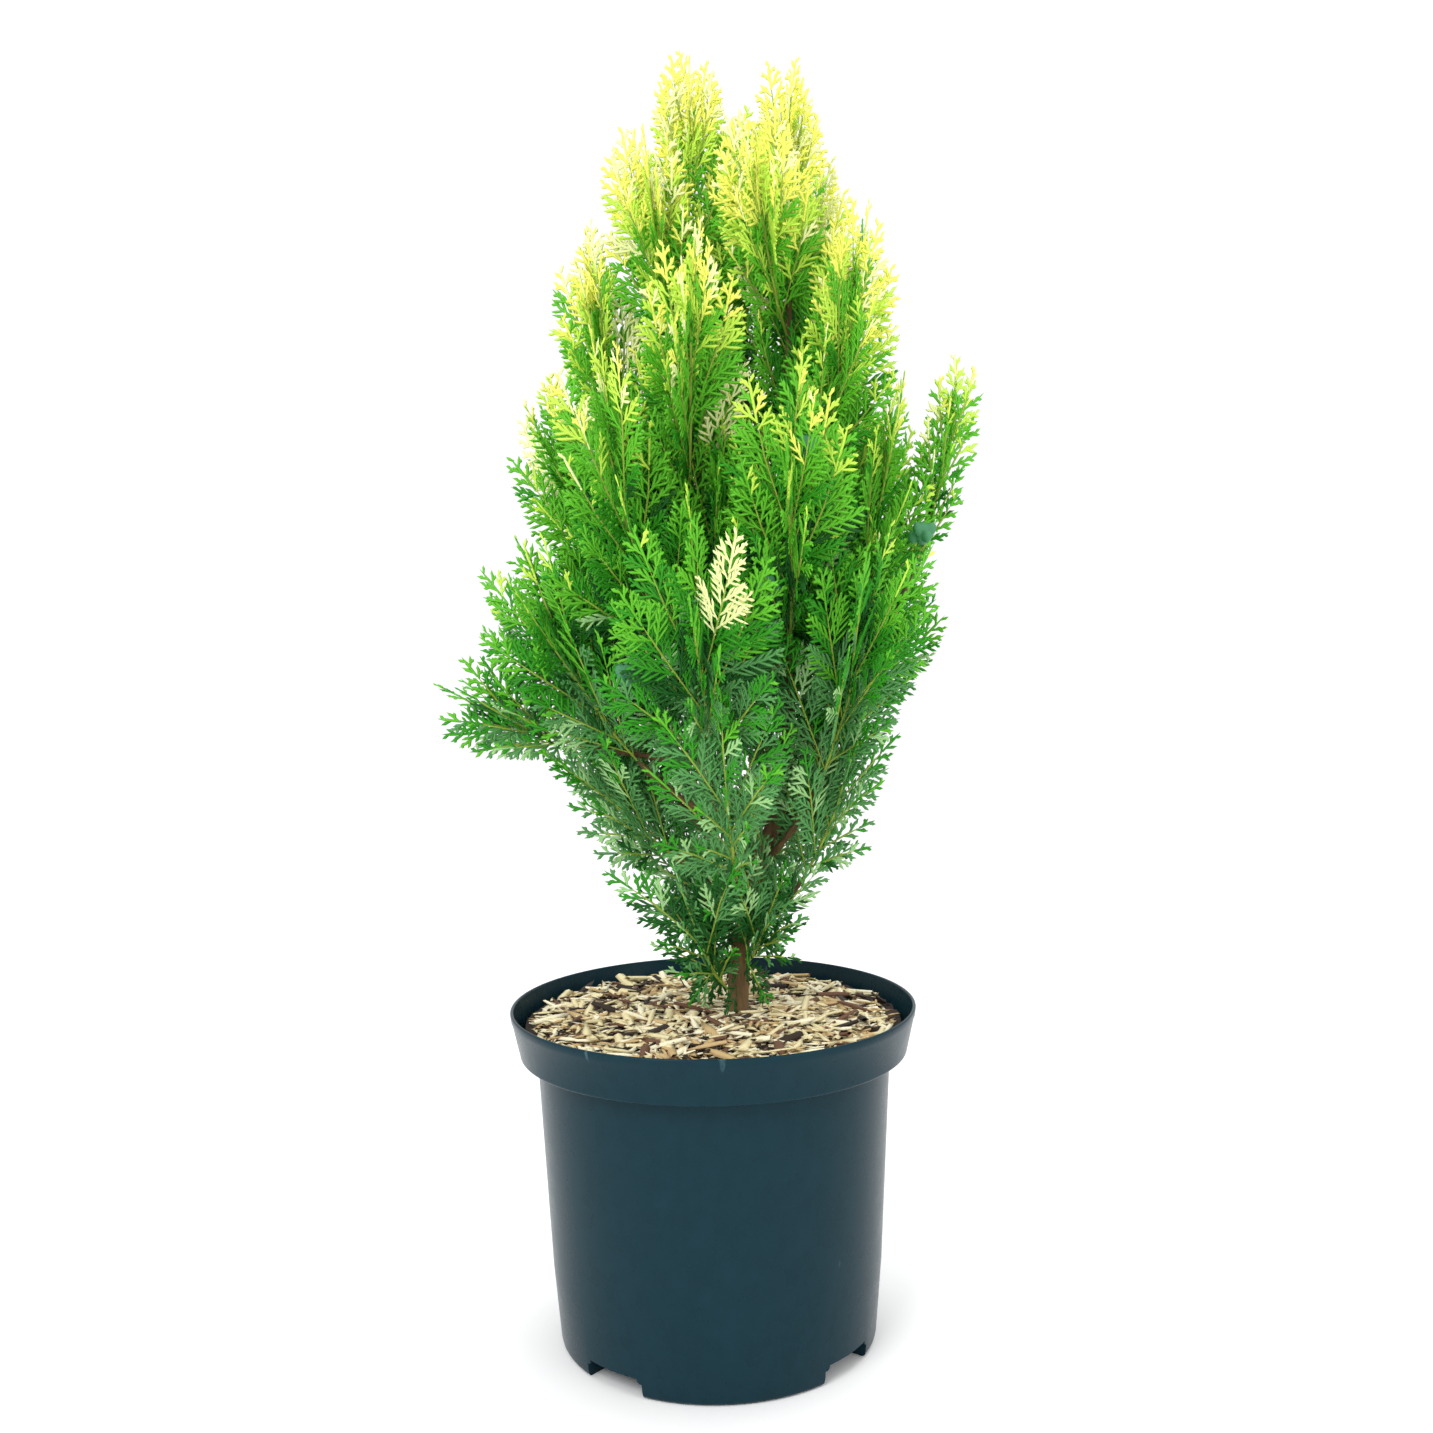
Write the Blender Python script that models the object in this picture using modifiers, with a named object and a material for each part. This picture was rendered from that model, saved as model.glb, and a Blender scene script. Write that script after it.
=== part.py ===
"""Potted oriental arborvitae: a young conifer with three leaders in a round nursery pot.

Metres, +Z up. The origin is the middle of the pot's flat underside, and -Y is the front.
"""

import math
import random

import bmesh
import bpy
from mathutils import Matrix, Vector
from mathutils.bvhtree import BVHTree
from mathutils.geometry import intersect_point_line

SEED = 11
GAP = 0.0003

# Pot: a deep round container of about 7.5 litres, with a band under its rim and four feet.
POT_HEIGHT = 0.2155
RIM_RADIUS = 0.130
BAND_HEIGHT = 0.0292
BAND_FOOT_RADIUS = 0.1243
BODY_TOP_RADIUS = 0.1132
BASE_RADIUS = 0.1021
WALL = 0.0022
FLOOR_TOP = 0.0155
LIP_ROUND = 0.0012
STEP_SLOPE = 0.0012
POT_SEGMENTS = 40
NOTCH_COUNT = 4
NOTCH_HEIGHT = 0.012
NOTCH_WIDTH = 0.044
NOTCH_DEPTH = 0.030
FIRST_NOTCH_BEARING = math.radians(231)

# Filling: potting mix with a layer of wood chips.
MIX_TOP = 0.2000
CHIP_LAYER = 0.0045
CHIP_DOME = 0.0025
CHIP_COUNT = 16
CHIP_SIZE = (0.030, 0.009, 0.0032)
CHIP_REACH = 0.104
FOOT_CLEARANCE = 0.0018

# Trunk and leaders: the points that each limb passes, then its radius at the foot and tip.
GROUND = MIX_TOP + GAP
TRUNK_FOOT = (0.016, 0.000)
FOOT_RINGS = (0.0, 0.005, 0.013)
TRUNK_ROUTE = (
    (0.0162, 0.000, GROUND + 0.026),
    (0.021, 0.002, 0.270),
    (0.030, 0.004, 0.304),
    (0.047, 0.006, 0.342),
    (0.052, 0.004, 0.400),
    (0.050, 0.000, 0.500),
    (0.054, 0.000, 0.600),
    (0.057, 0.002, 0.700),
)
TRUNK_RADII = (0.0064, 0.0018)
FLARE = 0.0040
FLARE_HEIGHT = 0.014
LEFT_ROUTE = (
    (0.012, -0.004, 0.330),
    (-0.004, -0.010, 0.372),
    (-0.009, -0.012, 0.450),
    (-0.010, -0.010, 0.550),
    (-0.010, -0.006, 0.650),
    (-0.006, -0.004, 0.710),
)
LEFT_FORK_HEIGHT = 0.296
MIDDLE_ROUTE = (
    (0.036, 0.032, 0.462),
    (0.030, 0.040, 0.520),
    (0.029, 0.040, 0.600),
    (0.030, 0.034, 0.690),
)
MIDDLE_FORK_HEIGHT = 0.420
LEADER_RADII = (0.0040, 0.0016)
LEADER_COLLAR = 0.0068
LIMB_RINGS = 17

# Crown: how far its tips stand from its middle line, by height.
MIDDLE_LINE = ((0.24, 0.008), (0.45, 0.002), (0.62, 0.010), (0.80, 0.028))
REACH = (
    (0.27, 0.026),
    (0.33, 0.050),
    (0.42, 0.100),
    (0.52, 0.122),
    (0.62, 0.112),
    (0.70, 0.094),
    (0.76, 0.062),
    (0.81, 0.030),
)
INNER_SHARE = 0.42

# Tiers of foliage: how many, first bearing in degrees, height of the tips, how far below them
# the shoot leaves its limb, share of the shoot that is bough, sprays and their length.
TIERS = {
    "shoulder": (4, 12, 0.752, 0.130, 0.0, 5, 0.078),
    "upper": (5, 40, 0.694, 0.175, 0.0, 6, 0.088),
    "inner": (3, 265, 0.590, 0.160, 0.0, 6, 0.090),
    "mid": (6, -8, 0.612, 0.190, 0.0, 6, 0.096),
    "belly": (6, 22, 0.515, 0.185, 0.30, 6, 0.096),
    "low": (5, -18, 0.418, 0.145, 0.25, 5, 0.088),
    "skirt": (4, 235, 0.322, 0.070, 0.0, 5, 0.066),
}
TIER_JITTER = (5.0, 0.012)
START_SPREAD = 0.045
SHOOT_BEND = 0.55
TURNS_TRIED = (0, 7, -7, 14, -14, 21, -21)
LIFTS_TRIED = (0.0, 0.012, -0.012, 0.024, -0.024)
SHOOT_ROOM = 0.010
LEAVE_LENGTH = 0.014
LEAVE_ROOM = 0.011

# Shoots that stand out of the crown: tip, height at which it leaves its limb, share of bough,
# sprays and their length.
STRAYS = {
    "outer_right": ((0.164, -0.010, 0.620), 0.375, 0.50, 6, 0.056),
    "drooping_left": ((-0.166, -0.020, 0.424), 0.372, 0.45, 5, 0.062),
}
TOP_TIPS = {
    "trunk": (0.057, 0.002, 0.804),
    "left_leader": (-0.004, -0.004, 0.812),
    "middle_leader": (0.031, 0.030, 0.782),
}
TOP_SPRAYS = (5, 0.066)

BOUGH_RADII = (0.0026, 0.0015)
STEM_RADII = (0.0014, 0.0007)
BOUGH_RINGS = 4
STEM_RINGS = 5
SWEEP_STEPS = 32
SPACE_POINTS = 12

# Sprays: toothed blades of unit length, scaled to their place.
SPRAY_FINGERS = 4
SPRAY_HALF_THICKNESS = 0.0090
SPRAY_ROOT = 0.014
SPRAY_PITCH = (40, 24)
GOLDEN_ANGLE = math.radians(137.5)
SPRAY_VARIANTS = 4
SIZES_TRIED = (1.0, 0.85, 0.7, 0.55)
SPACE_MARGIN = 0.0012
LIMB_MARGIN = 0.0010

# Cones: green seed cones fused to the foliage where they show.
CONE_PLACES = ((0.060, -0.062, 0.560), (0.036, -0.082, 0.480), (0.134, -0.030, 0.512))
CONE_LENGTH = 0.017
CONE_WIDTH = 0.012

COLOURS = {
    "pot_plastic": ("1f3d4a", 0.35),
    "peat": ("2a1d14", 0.95),
    "chips": ("d8c08a", 0.85),
    "bark": ("8a5f36", 0.85),
    "gold_foliage": ("dbe24a", 0.6),
    "green_foliage": ("35a012", 0.6),
    "deep_foliage": ("177a2a", 0.6),
    "blue_foliage": ("2c7a50", 0.6),
}
TIER_COLOURS = {
    "top": "gold_foliage",
    "shoulder": "gold_foliage",
    "upper": "gold_foliage",
    "inner": "green_foliage",
    "mid": "green_foliage",
    "stray": "green_foliage",
    "belly": "deep_foliage",
    "low": "blue_foliage",
    "skirt": "blue_foliage",
}


def linear(hex_colour):
    values = [int(hex_colour[i : i + 2], 16) / 255 for i in (0, 2, 4)]
    return [v / 12.92 if v <= 0.04045 else ((v + 0.055) / 1.055) ** 2.4 for v in values]


def make_materials():
    made = {}
    for name, (hex_colour, roughness) in COLOURS.items():
        material = bpy.data.materials.new(name)
        material.use_nodes = True
        shader = material.node_tree.nodes["Principled BSDF"]
        shader.inputs["Base Color"].default_value = (*linear(hex_colour), 1)
        shader.inputs["Roughness"].default_value = roughness
        material.diffuse_color = (*linear(hex_colour), 1)
        made[name] = material
    return made


def clear_scene():
    for obj in list(bpy.data.objects):
        bpy.data.objects.remove(obj)


def new_collection(name):
    collection = bpy.data.collections.new(name)
    bpy.context.scene.collection.children.link(collection)
    return collection


def add_object(name, mesh, collection, material=None):
    obj = bpy.data.objects.new(name, mesh)
    collection.objects.link(obj)
    if material:
        mesh.materials.clear()
        mesh.materials.append(material)
    return obj


def evaluated_mesh(obj):
    """The object's mesh with its modifiers or its bevel applied, and its caps welded."""
    bpy.context.view_layer.update()
    graph = bpy.context.evaluated_depsgraph_get()
    mesh = bpy.data.meshes.new_from_object(obj.evaluated_get(graph))
    shape = bmesh.new()
    shape.from_mesh(mesh)
    bmesh.ops.remove_doubles(shape, verts=shape.verts, dist=1e-6)
    shape.to_mesh(mesh)
    shape.free()
    return mesh


def between(table, z):
    """The value at height z in a table of heights and values."""
    if z <= table[0][0]:
        return table[0][1]
    for (low, first), (high, last) in zip(table, table[1:]):
        if z <= high:
            return first + (last - first) * (z - low) / (high - low)
    return table[-1][1]


def smooth_route(route, steps=8):
    """A smooth line through the points of a route, by Catmull and Rom's rule."""
    points = [Vector(p) for p in route]
    padded = [points[0] * 2 - points[1], *points, points[-1] * 2 - points[-2]]
    line = []
    for a, b, c, d in zip(padded, padded[1:], padded[2:], padded[3:]):
        for i in range(steps):
            t = i / steps
            line.append(
                0.5 * (2 * b + (c - a) * t + (2 * a - 5 * b + 4 * c - d) * t**2)
                + 0.5 * (3 * b - a - 3 * c + d) * t**3
            )
    line.append(points[-1])
    return line


def sweep(start, tip):
    """A shoot that leaves its limb sideways and turns up towards its tip."""
    line = []
    for i in range(SWEEP_STEPS + 1):
        t = i / SWEEP_STEPS
        out = SHOOT_BEND * math.sin(t * math.pi / 2) + (1 - SHOOT_BEND) * t
        rise = SHOOT_BEND * (1 - math.cos(t * math.pi / 2)) + (1 - SHOOT_BEND) * t
        across = (tip - start).to_2d() * out
        line.append(start + Vector((*across, (tip.z - start.z) * rise)))
    return line


def line_length(line):
    return sum((b - a).length for a, b in zip(line, line[1:]))


def stretch(line, start, end, count):
    """Evenly spaced points on the line, from one distance along it to another."""
    wanted = [start + (end - start) * i / (count - 1) for i in range(count)]
    points = []
    for distance in wanted:
        left = distance
        for a, b in zip(line, line[1:]):
            step = (b - a).length
            if left <= step or b is line[-1]:
                points.append(a + (b - a) * (left / step))
                break
            left -= step
    return points


def tapered(first, last, count):
    return [first + (last - first) * i / (count - 1) for i in range(count)]


def tube_mesh(points, radii, resolution):
    """A closed tube along the points, with 4 + 2 x resolution sides."""
    curve = bpy.data.curves.new("tube", "CURVE")
    curve.dimensions = "3D"
    curve.bevel_depth = 1.0
    curve.bevel_resolution = resolution
    curve.use_fill_caps = True
    spline = curve.splines.new("POLY")
    spline.points.add(len(points) - 1)
    for knot, point, radius in zip(spline.points, points, radii):
        knot.co = (*point, 1)
        knot.radius = radius
    obj = bpy.data.objects.new("tube", curve)
    bpy.context.scene.collection.objects.link(obj)
    mesh = evaluated_mesh(obj)
    bpy.data.objects.remove(obj)
    return mesh


def tree_of(mesh, matrix):
    corners = [matrix @ v.co for v in mesh.vertices]
    return BVHTree.FromPolygons(corners, [tuple(p.vertices) for p in mesh.polygons])


def turned(name, profile, segments, collection, material):
    """A solid turned from a profile in the XZ plane, by a Screw modifier."""
    mesh = bpy.data.meshes.new(name)
    edges = [(i, i + 1) for i in range(len(profile) - 1)]
    mesh.from_pydata([(r, 0, z) for r, z in profile], edges, [])
    obj = add_object(name, mesh, collection, material)
    screw = obj.modifiers.new("turn", "SCREW")
    screw.steps = segments
    screw.render_steps = segments
    screw.use_merge_vertices = True
    screw.merge_threshold = 1e-5
    screw.use_smooth_shade = True
    return obj


def outer_radius(z):
    """The radius of the pot's outer side below its band."""
    body_height = POT_HEIGHT - BAND_HEIGHT
    return BASE_RADIUS + (BODY_TOP_RADIUS - BASE_RADIUS) * z / body_height


def inner_radius(z):
    if z < POT_HEIGHT - BAND_HEIGHT + WALL:
        return outer_radius(z) - WALL
    share = (z - POT_HEIGHT + BAND_HEIGHT) / BAND_HEIGHT
    return BAND_FOOT_RADIUS + (RIM_RADIUS - BAND_FOOT_RADIUS) * share - WALL


def make_pot(parts, cutters, material):
    step = POT_HEIGHT - BAND_HEIGHT
    inner_step = step + WALL
    profile = [
        (0, FLOOR_TOP),
        (inner_radius(FLOOR_TOP), FLOOR_TOP),
        (outer_radius(inner_step) - WALL, inner_step - STEP_SLOPE),
        (inner_radius(inner_step + STEP_SLOPE), inner_step + STEP_SLOPE),
        (RIM_RADIUS - WALL, POT_HEIGHT - LIP_ROUND / 2),
        (RIM_RADIUS - WALL / 2, POT_HEIGHT),
        (RIM_RADIUS, POT_HEIGHT - LIP_ROUND),
        (BAND_FOOT_RADIUS, step),
        (BODY_TOP_RADIUS, step - STEP_SLOPE),
        (BASE_RADIUS + 0.0003, LIP_ROUND),
        (BASE_RADIUS - LIP_ROUND, 0),
        (0, 0),
    ]
    pot = turned("pot", profile, POT_SEGMENTS, parts, material)
    for i in range(NOTCH_COUNT):
        bearing = FIRST_NOTCH_BEARING + i * math.tau / NOTCH_COUNT
        mesh = bpy.data.meshes.new("notch")
        shape = bmesh.new()
        bmesh.ops.create_cube(shape, size=1)
        shape.to_mesh(mesh)
        shape.free()
        notch = add_object(f"notch_{i + 1}", mesh, cutters)
        notch.location = (BASE_RADIUS * math.cos(bearing), BASE_RADIUS * math.sin(bearing), 0)
        notch.rotation_euler.z = bearing
        notch.scale = (2 * NOTCH_DEPTH, NOTCH_WIDTH, 2 * NOTCH_HEIGHT)
        notch.hide_render = True
        notch.display_type = "WIRE"
    cut = pot.modifiers.new("notches", "BOOLEAN")
    cut.operation = "DIFFERENCE"
    cut.operand_type = "COLLECTION"
    cut.collection = cutters
    return pot


def make_mix(parts, material):
    low = FLOOR_TOP + GAP
    step = POT_HEIGHT - BAND_HEIGHT + WALL
    profile = [
        (0, MIX_TOP),
        (inner_radius(MIX_TOP) - GAP * 2, MIX_TOP),
        (inner_radius(step + 2 * STEP_SLOPE) - GAP * 2, step + 3 * STEP_SLOPE),
        (inner_radius(step - 2 * STEP_SLOPE) - GAP * 2, step - STEP_SLOPE),
        (inner_radius(low) - GAP * 2, low),
        (0, low),
    ]
    return turned("potting_mix", profile, 32, parts, material)


def join_union(base, others, collection):
    """One Boolean union of the base and a collection, applied, and the collection emptied."""
    union = base.modifiers.new("join", "BOOLEAN")
    union.operation = "UNION"
    union.operand_type = "COLLECTION"
    union.collection = collection
    union.solver = "MANIFOLD"
    joined = evaluated_mesh(base)
    base.modifiers.clear()
    base.data = joined
    for other in others:
        bpy.data.objects.remove(other)


def make_chips(parts, material):
    """A low dome of chips with a few whole ones lying on it, cut clear of the trunk's foot."""
    rng = random.Random(SEED)
    low = MIX_TOP + GAP
    edge = inner_radius(MIX_TOP) - 2 * GAP
    top = low + CHIP_LAYER
    profile = [(0, top + CHIP_DOME), (edge * 0.6, top + CHIP_DOME * 0.6), (edge, top), (edge, low), (0, low)]
    layer = turned("wood_chips", profile, 32, parts, material)
    layer.data = evaluated_mesh(layer)
    layer.modifiers.clear()
    loose = new_collection("loose chips")
    chips = []
    for i in range(CHIP_COUNT):
        radius = CHIP_REACH * math.sqrt((i + 0.5) / CHIP_COUNT)
        bearing = i * GOLDEN_ANGLE
        mesh = bpy.data.meshes.new("chip")
        shape = bmesh.new()
        bmesh.ops.create_cube(shape, size=1)
        shape.to_mesh(mesh)
        shape.free()
        chip = add_object("chip", mesh, loose)
        height = top + CHIP_DOME * (1 - radius / edge)
        chip.location = (radius * math.cos(bearing), radius * math.sin(bearing), height)
        chip.rotation_euler = (
            rng.uniform(-0.2, 0.2),
            rng.uniform(-0.16, 0.16),
            rng.uniform(0, math.pi),
        )
        chip.scale = [size * rng.uniform(0.75, 1.15) for size in CHIP_SIZE]
        chips.append(chip)
    join_union(layer, chips, loose)
    bpy.data.collections.remove(loose)

    hole_mesh = bpy.data.meshes.new("hole")
    shape = bmesh.new()
    radius = TRUNK_RADII[0] + FLARE + FOOT_CLEARANCE
    bmesh.ops.create_cone(
        shape, cap_ends=True, segments=16, radius1=radius, radius2=radius, depth=0.1
    )
    shape.to_mesh(hole_mesh)
    shape.free()
    hole = add_object("hole", hole_mesh, parts)
    hole.location = (*TRUNK_FOOT, GROUND)
    cut = layer.modifiers.new("hole", "BOOLEAN")
    cut.operation = "DIFFERENCE"
    cut.object = hole
    layer.data = evaluated_mesh(layer)
    layer.modifiers.clear()
    bpy.data.objects.remove(hole)
    return layer


class Limb:
    """A trunk, leader, bough or stem: a line with a radius at each end."""

    def __init__(self, name, line, radii, flare=0.0):
        self.name = name
        self.line = line
        self.length = line_length(line)
        self.radii = radii
        self.flare = flare

    def radius(self, distance):
        share = min(max(distance / self.length, 0), 1)
        taper = self.radii[0] + (self.radii[1] - self.radii[0]) * share
        return taper + self.flare * math.exp(-distance / FLARE_HEIGHT)

    def at_height(self, z):
        """The point of the line at height z, and the radius there."""
        travelled = 0.0
        for a, b in zip(self.line, self.line[1:]):
            if a.z <= z <= b.z:
                share = (z - a.z) / (b.z - a.z)
                return a + (b - a) * share, self.radius(travelled + share * (b - a).length)
            travelled += (b - a).length
        return self.line[-1], self.radii[1]

    def mesh(self, resolution, margin=0.0):
        """A tube with a ring at each point of the line."""
        travelled = [line_length(self.line[: i + 1]) for i in range(len(self.line))]
        radii = [self.radius(distance) + margin for distance in travelled]
        return tube_mesh(self.line, radii, resolution)


def leave(limb, height, towards, thickness):
    """Where a shoot starts on a limb: its end face stands clear of the limb's side."""
    middle, radius = limb.at_height(height)
    out = (towards - middle).to_2d().normalized().to_3d()
    leaving = Vector(((towards - middle).to_2d().length * (1 + SHOOT_BEND * (math.pi / 2 - 1)), 0))
    leaving.y = (towards.z - height) * (1 - SHOOT_BEND)
    clear = radius + GAP + thickness * max(leaving.normalized().y, 0)
    start = middle + out * clear
    while nearest(start, limb.line) < clear:
        start += out * GAP
    return start


def limb_line(route):
    smooth = smooth_route(route)
    return stretch(smooth, 0, line_length(smooth), LIMB_RINGS)


def make_limbs():
    foot = [Vector((*TRUNK_FOOT, GROUND + height)) for height in FOOT_RINGS]
    trunk = Limb("trunk", foot + limb_line(TRUNK_ROUTE), TRUNK_RADII, FLARE)
    limbs = [trunk]
    for name, route, fork in (
        ("left_leader", LEFT_ROUTE, LEFT_FORK_HEIGHT),
        ("middle_leader", MIDDLE_ROUTE, MIDDLE_FORK_HEIGHT),
    ):
        start = leave(trunk, fork, Vector(route[0]), LEADER_COLLAR)
        limbs.append(Limb(name, limb_line((start, *route)), LEADER_RADII))
    return limbs


def crown_tip(bearing, z, share):
    reach = between(REACH, z) * share
    middle = between(MIDDLE_LINE, z)
    return Vector((middle + reach * math.cos(bearing), reach * math.sin(bearing), z))


def nearest(point, line):
    """The distance from a point to a line of straight pieces."""
    found = math.inf
    for a, b in zip(line, line[1:]):
        foot, share = intersect_point_line(point, a, b)
        foot = a if share < 0 else b if share > 1 else foot
        found = min(found, (point - foot).length)
    return found


def line_gap(first, second):
    return min(nearest(point, second) for point in first[::2])


def leaves_cleanly(line, limb):
    """Whether a shoot moves away from its own limb, and doesn't lie along it."""
    past = stretch(line, LEAVE_LENGTH, line_length(line), SWEEP_STEPS // 2)
    return all(nearest(point, limb.line) > LEAVE_ROOM for point in past)


class Shoot:
    """One bough, or none, and the mass of foliage that goes on from it."""

    def __init__(self, name, line, bough_share, sprays, spray_length, tier):
        self.name = name
        self.line = line
        self.length = line_length(line)
        self.bough_end = self.length * bough_share
        self.sprays = sprays
        self.spray_length = spray_length
        self.tier = tier

    def bough(self):
        points = stretch(self.line, 0, self.bough_end, BOUGH_RINGS)
        return Limb(f"bough_{self.name}", points, BOUGH_RADII)

    def stem_start(self):
        return self.bough_end + GAP if self.bough_end else 0.0

    def stem(self):
        end = self.length - self.spray_length * 0.85
        points = stretch(self.line, self.stem_start(), end, STEM_RINGS)
        return Limb(f"foliage_{self.name}", points, STEM_RADII)

    def space(self):
        """The points that the mass keeps its foliage near."""
        return stretch(self.line, self.stem_start(), self.length, SPACE_POINTS)


def nearest_limb(limbs, tip, height):
    able = [limb for limb in limbs if limb.line[0].z < height < limb.line[-1].z]
    return min(able, key=lambda limb: (limb.at_height(height)[0] - tip).to_2d().length)


def clear_shoot(limbs, shoots, bearing, z, height, values):
    """The first shoot near a bearing that keeps clear of the shoots already there."""
    name, share, sprays, length, tier = values
    thickness = BOUGH_RADII[0] if share else STEM_RADII[0]
    tries = [(lift, turn) for lift in LIFTS_TRIED for turn in TURNS_TRIED]
    for lift, turn in tries:
        tip = crown_tip(bearing + math.radians(turn), z, INNER_SHARE if tier == "inner" else 1)
        limb = nearest_limb(limbs, tip, height + lift)
        line = sweep(leave(limb, height + lift, tip, thickness), tip)
        others = [other.line for other in limbs if other is not limb]
        others += [shoot.line for shoot in shoots]
        clear = all(line_gap(line, other) > SHOOT_ROOM for other in others)
        if clear and leaves_cleanly(line, limb):
            return Shoot(name, line, share, sprays, length, tier)
    raise ValueError(f"no room for {name}")


def make_shoots(limbs):
    rng = random.Random(SEED)
    shoots = []
    for limb in limbs:
        start = limb.line[-1]
        along = (limb.line[-1] - limb.line[-2]).normalized()
        line = sweep(start + along * GAP, Vector(TOP_TIPS[limb.name]))
        shoots.append(Shoot(f"{limb.name}_top", line, 0, *TOP_SPRAYS, "top"))
    for name, (tip, height, share, sprays, length) in STRAYS.items():
        tip = Vector(tip)
        limb = nearest_limb(limbs, tip, height)
        line = sweep(leave(limb, height, tip, BOUGH_RADII[0]), tip)
        shoots.append(Shoot(name, line, share, sprays, length, "stray"))
    for tier, (count, first, top, drop, share, sprays, length) in TIERS.items():
        for i in range(count):
            bearing = math.radians(first + 360 * i / count + rng.uniform(-1, 1) * TIER_JITTER[0])
            z = top + rng.uniform(-1, 1) * TIER_JITTER[1]
            height = z - drop + START_SPREAD * ((i * 0.618) % 1 - 0.5)
            values = (f"{tier}_{i + 1}", share, sprays, length, tier)
            shoots.append(clear_shoot(limbs, shoots, bearing, z, height, values))
    return shoots


def spray_outline(variant):
    """A blade with fingers on alternate sides that lean towards its tip."""
    rng = random.Random(SEED + variant)
    sides = ([(0.0, SPRAY_ROOT)], [(0.0, SPRAY_ROOT)])
    for i in range(SPRAY_FINGERS):
        share = (i + 0.5) / SPRAY_FINGERS
        spread = 0.36 * (1 - 0.66 * share) * rng.uniform(0.85, 1.15)
        root = 0.06 + 0.62 * share
        reach = 0.30 * (1 - 0.40 * share)
        side = sides[i % 2]
        side.append((root, 0.034))
        side.append((root + reach, spread))
    left, right = sides
    return [*left, (1.0, 0.0), *[(x, -y) for x, y in reversed(right)]]


def spray_mesh(variant):
    curve = bpy.data.curves.new("spray", "CURVE")
    curve.dimensions = "2D"
    curve.fill_mode = "BOTH"
    curve.extrude = SPRAY_HALF_THICKNESS
    outline = spray_outline(variant)
    spline = curve.splines.new("POLY")
    spline.points.add(len(outline) - 1)
    spline.use_cyclic_u = True
    for knot, (x, y) in zip(spline.points, outline):
        knot.co = (x, y, 0, 1)
    obj = bpy.data.objects.new("spray", curve)
    bpy.context.scene.collection.objects.link(obj)
    mesh = evaluated_mesh(obj)
    bpy.data.objects.remove(obj)
    return mesh


def spray_matrix(root, along, turn, pitch, length):
    """Stands a spray on its stem, in a plane that holds the stem."""
    side = along.orthogonal().normalized()
    side.rotate(Matrix.Rotation(turn, 3, along))
    direction = along * math.cos(pitch) + side * math.sin(pitch)
    normal = along.cross(side).normalized()
    across = normal.cross(direction)
    turned_axes = Matrix((direction, across, normal)).transposed().to_4x4()
    sunk = root - direction * 0.001
    return Matrix.Translation(sunk) @ turned_axes @ Matrix.Scale(length, 4)


class Space:
    """What a new spray is held against: the limbs, and the other masses' sprays and stems."""

    def __init__(self, shoots, hard):
        self.lines = {shoot.name: shoot.space() for shoot in shoots}
        self.hard = hard
        self.taken = []

    def free(self, name, mesh, matrix):
        corners = [matrix @ v.co for v in mesh.vertices]
        own = self.lines[name]
        near = [
            line
            for other, line in self.lines.items()
            if other != name and line_gap(line, own) < 0.16
        ]
        for corner in corners[::2]:
            here = nearest(corner, own) + SPACE_MARGIN
            if any(nearest(corner, line) < here for line in near):
                return False
        tree = tree_of(mesh, matrix @ Matrix.Diagonal((1, 1, 2, 1)))
        others = [other for owner, other in self.hard + self.taken if owner != name]
        if any(tree.overlap(other) for other in others):
            return False
        self.taken.append((name, tree))
        return True


def make_mass(shoot, space, sprays, cones, parts, material):
    """A stem with sprays up its sides and one at its tip, joined by one Boolean union."""
    rng = random.Random(f"{SEED} {shoot.name}")
    stem = shoot.stem()
    mass = add_object(stem.name, stem.mesh(0), parts, material)
    loose = new_collection("loose sprays")
    placed = []
    first = stem.length * (0.10 if shoot.bough_end else 0.30)
    for i in range(shoot.sprays):
        share = i / (shoot.sprays - 1)
        distance = first + (stem.length * 0.985 - first) * share
        ends = stretch(stem.line, max(distance - 0.004, 0), distance, 2)
        along = (ends[1] - ends[0]).normalized()
        last = i == shoot.sprays - 1
        pitch = 0 if last else math.radians(between(((0, SPRAY_PITCH[0]), (1, SPRAY_PITCH[1])), share))
        length = shoot.spray_length * (1 if last else rng.uniform(0.9, 1.1))
        mesh = rng.choice(sprays)
        turns = [i * GOLDEN_ANGLE + offset for offset in (0, 0.5, -0.5, 1.1, -1.1)]
        tries = [(size, turn) for size in SIZES_TRIED for turn in turns]
        for size, turn in tries:
            matrix = spray_matrix(ends[1], along, turn, pitch, length * size)
            if space.free(shoot.name, mesh, matrix):
                spray = add_object("spray", mesh, loose)
                spray.matrix_world = matrix
                placed.append(spray)
                break
    for place in cones:
        placed += make_cone(place, stem, loose)
    join_union(mass, placed, loose)
    bpy.data.collections.remove(loose)
    mass.data.materials.clear()
    mass.data.materials.append(material)


def make_cone(place, stem, collection):
    """A seed cone on a short stalk that is sunk in the stem."""
    roots = stretch(stem.line, CONE_LENGTH, stem.length, SWEEP_STEPS)
    root = min(roots, key=lambda point: (point - place).length)
    stalk = add_object("stalk", tube_mesh([root, place], [0.0009, 0.0009], 0), collection)
    mesh = bpy.data.meshes.new("cone")
    shape = bmesh.new()
    bmesh.ops.create_icosphere(shape, subdivisions=1, radius=0.5)
    shape.to_mesh(mesh)
    shape.free()
    cone = add_object("cone", mesh, collection)
    cone.location = place
    cone.scale = (CONE_WIDTH, CONE_WIDTH, CONE_LENGTH)
    return [stalk, cone]


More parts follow.
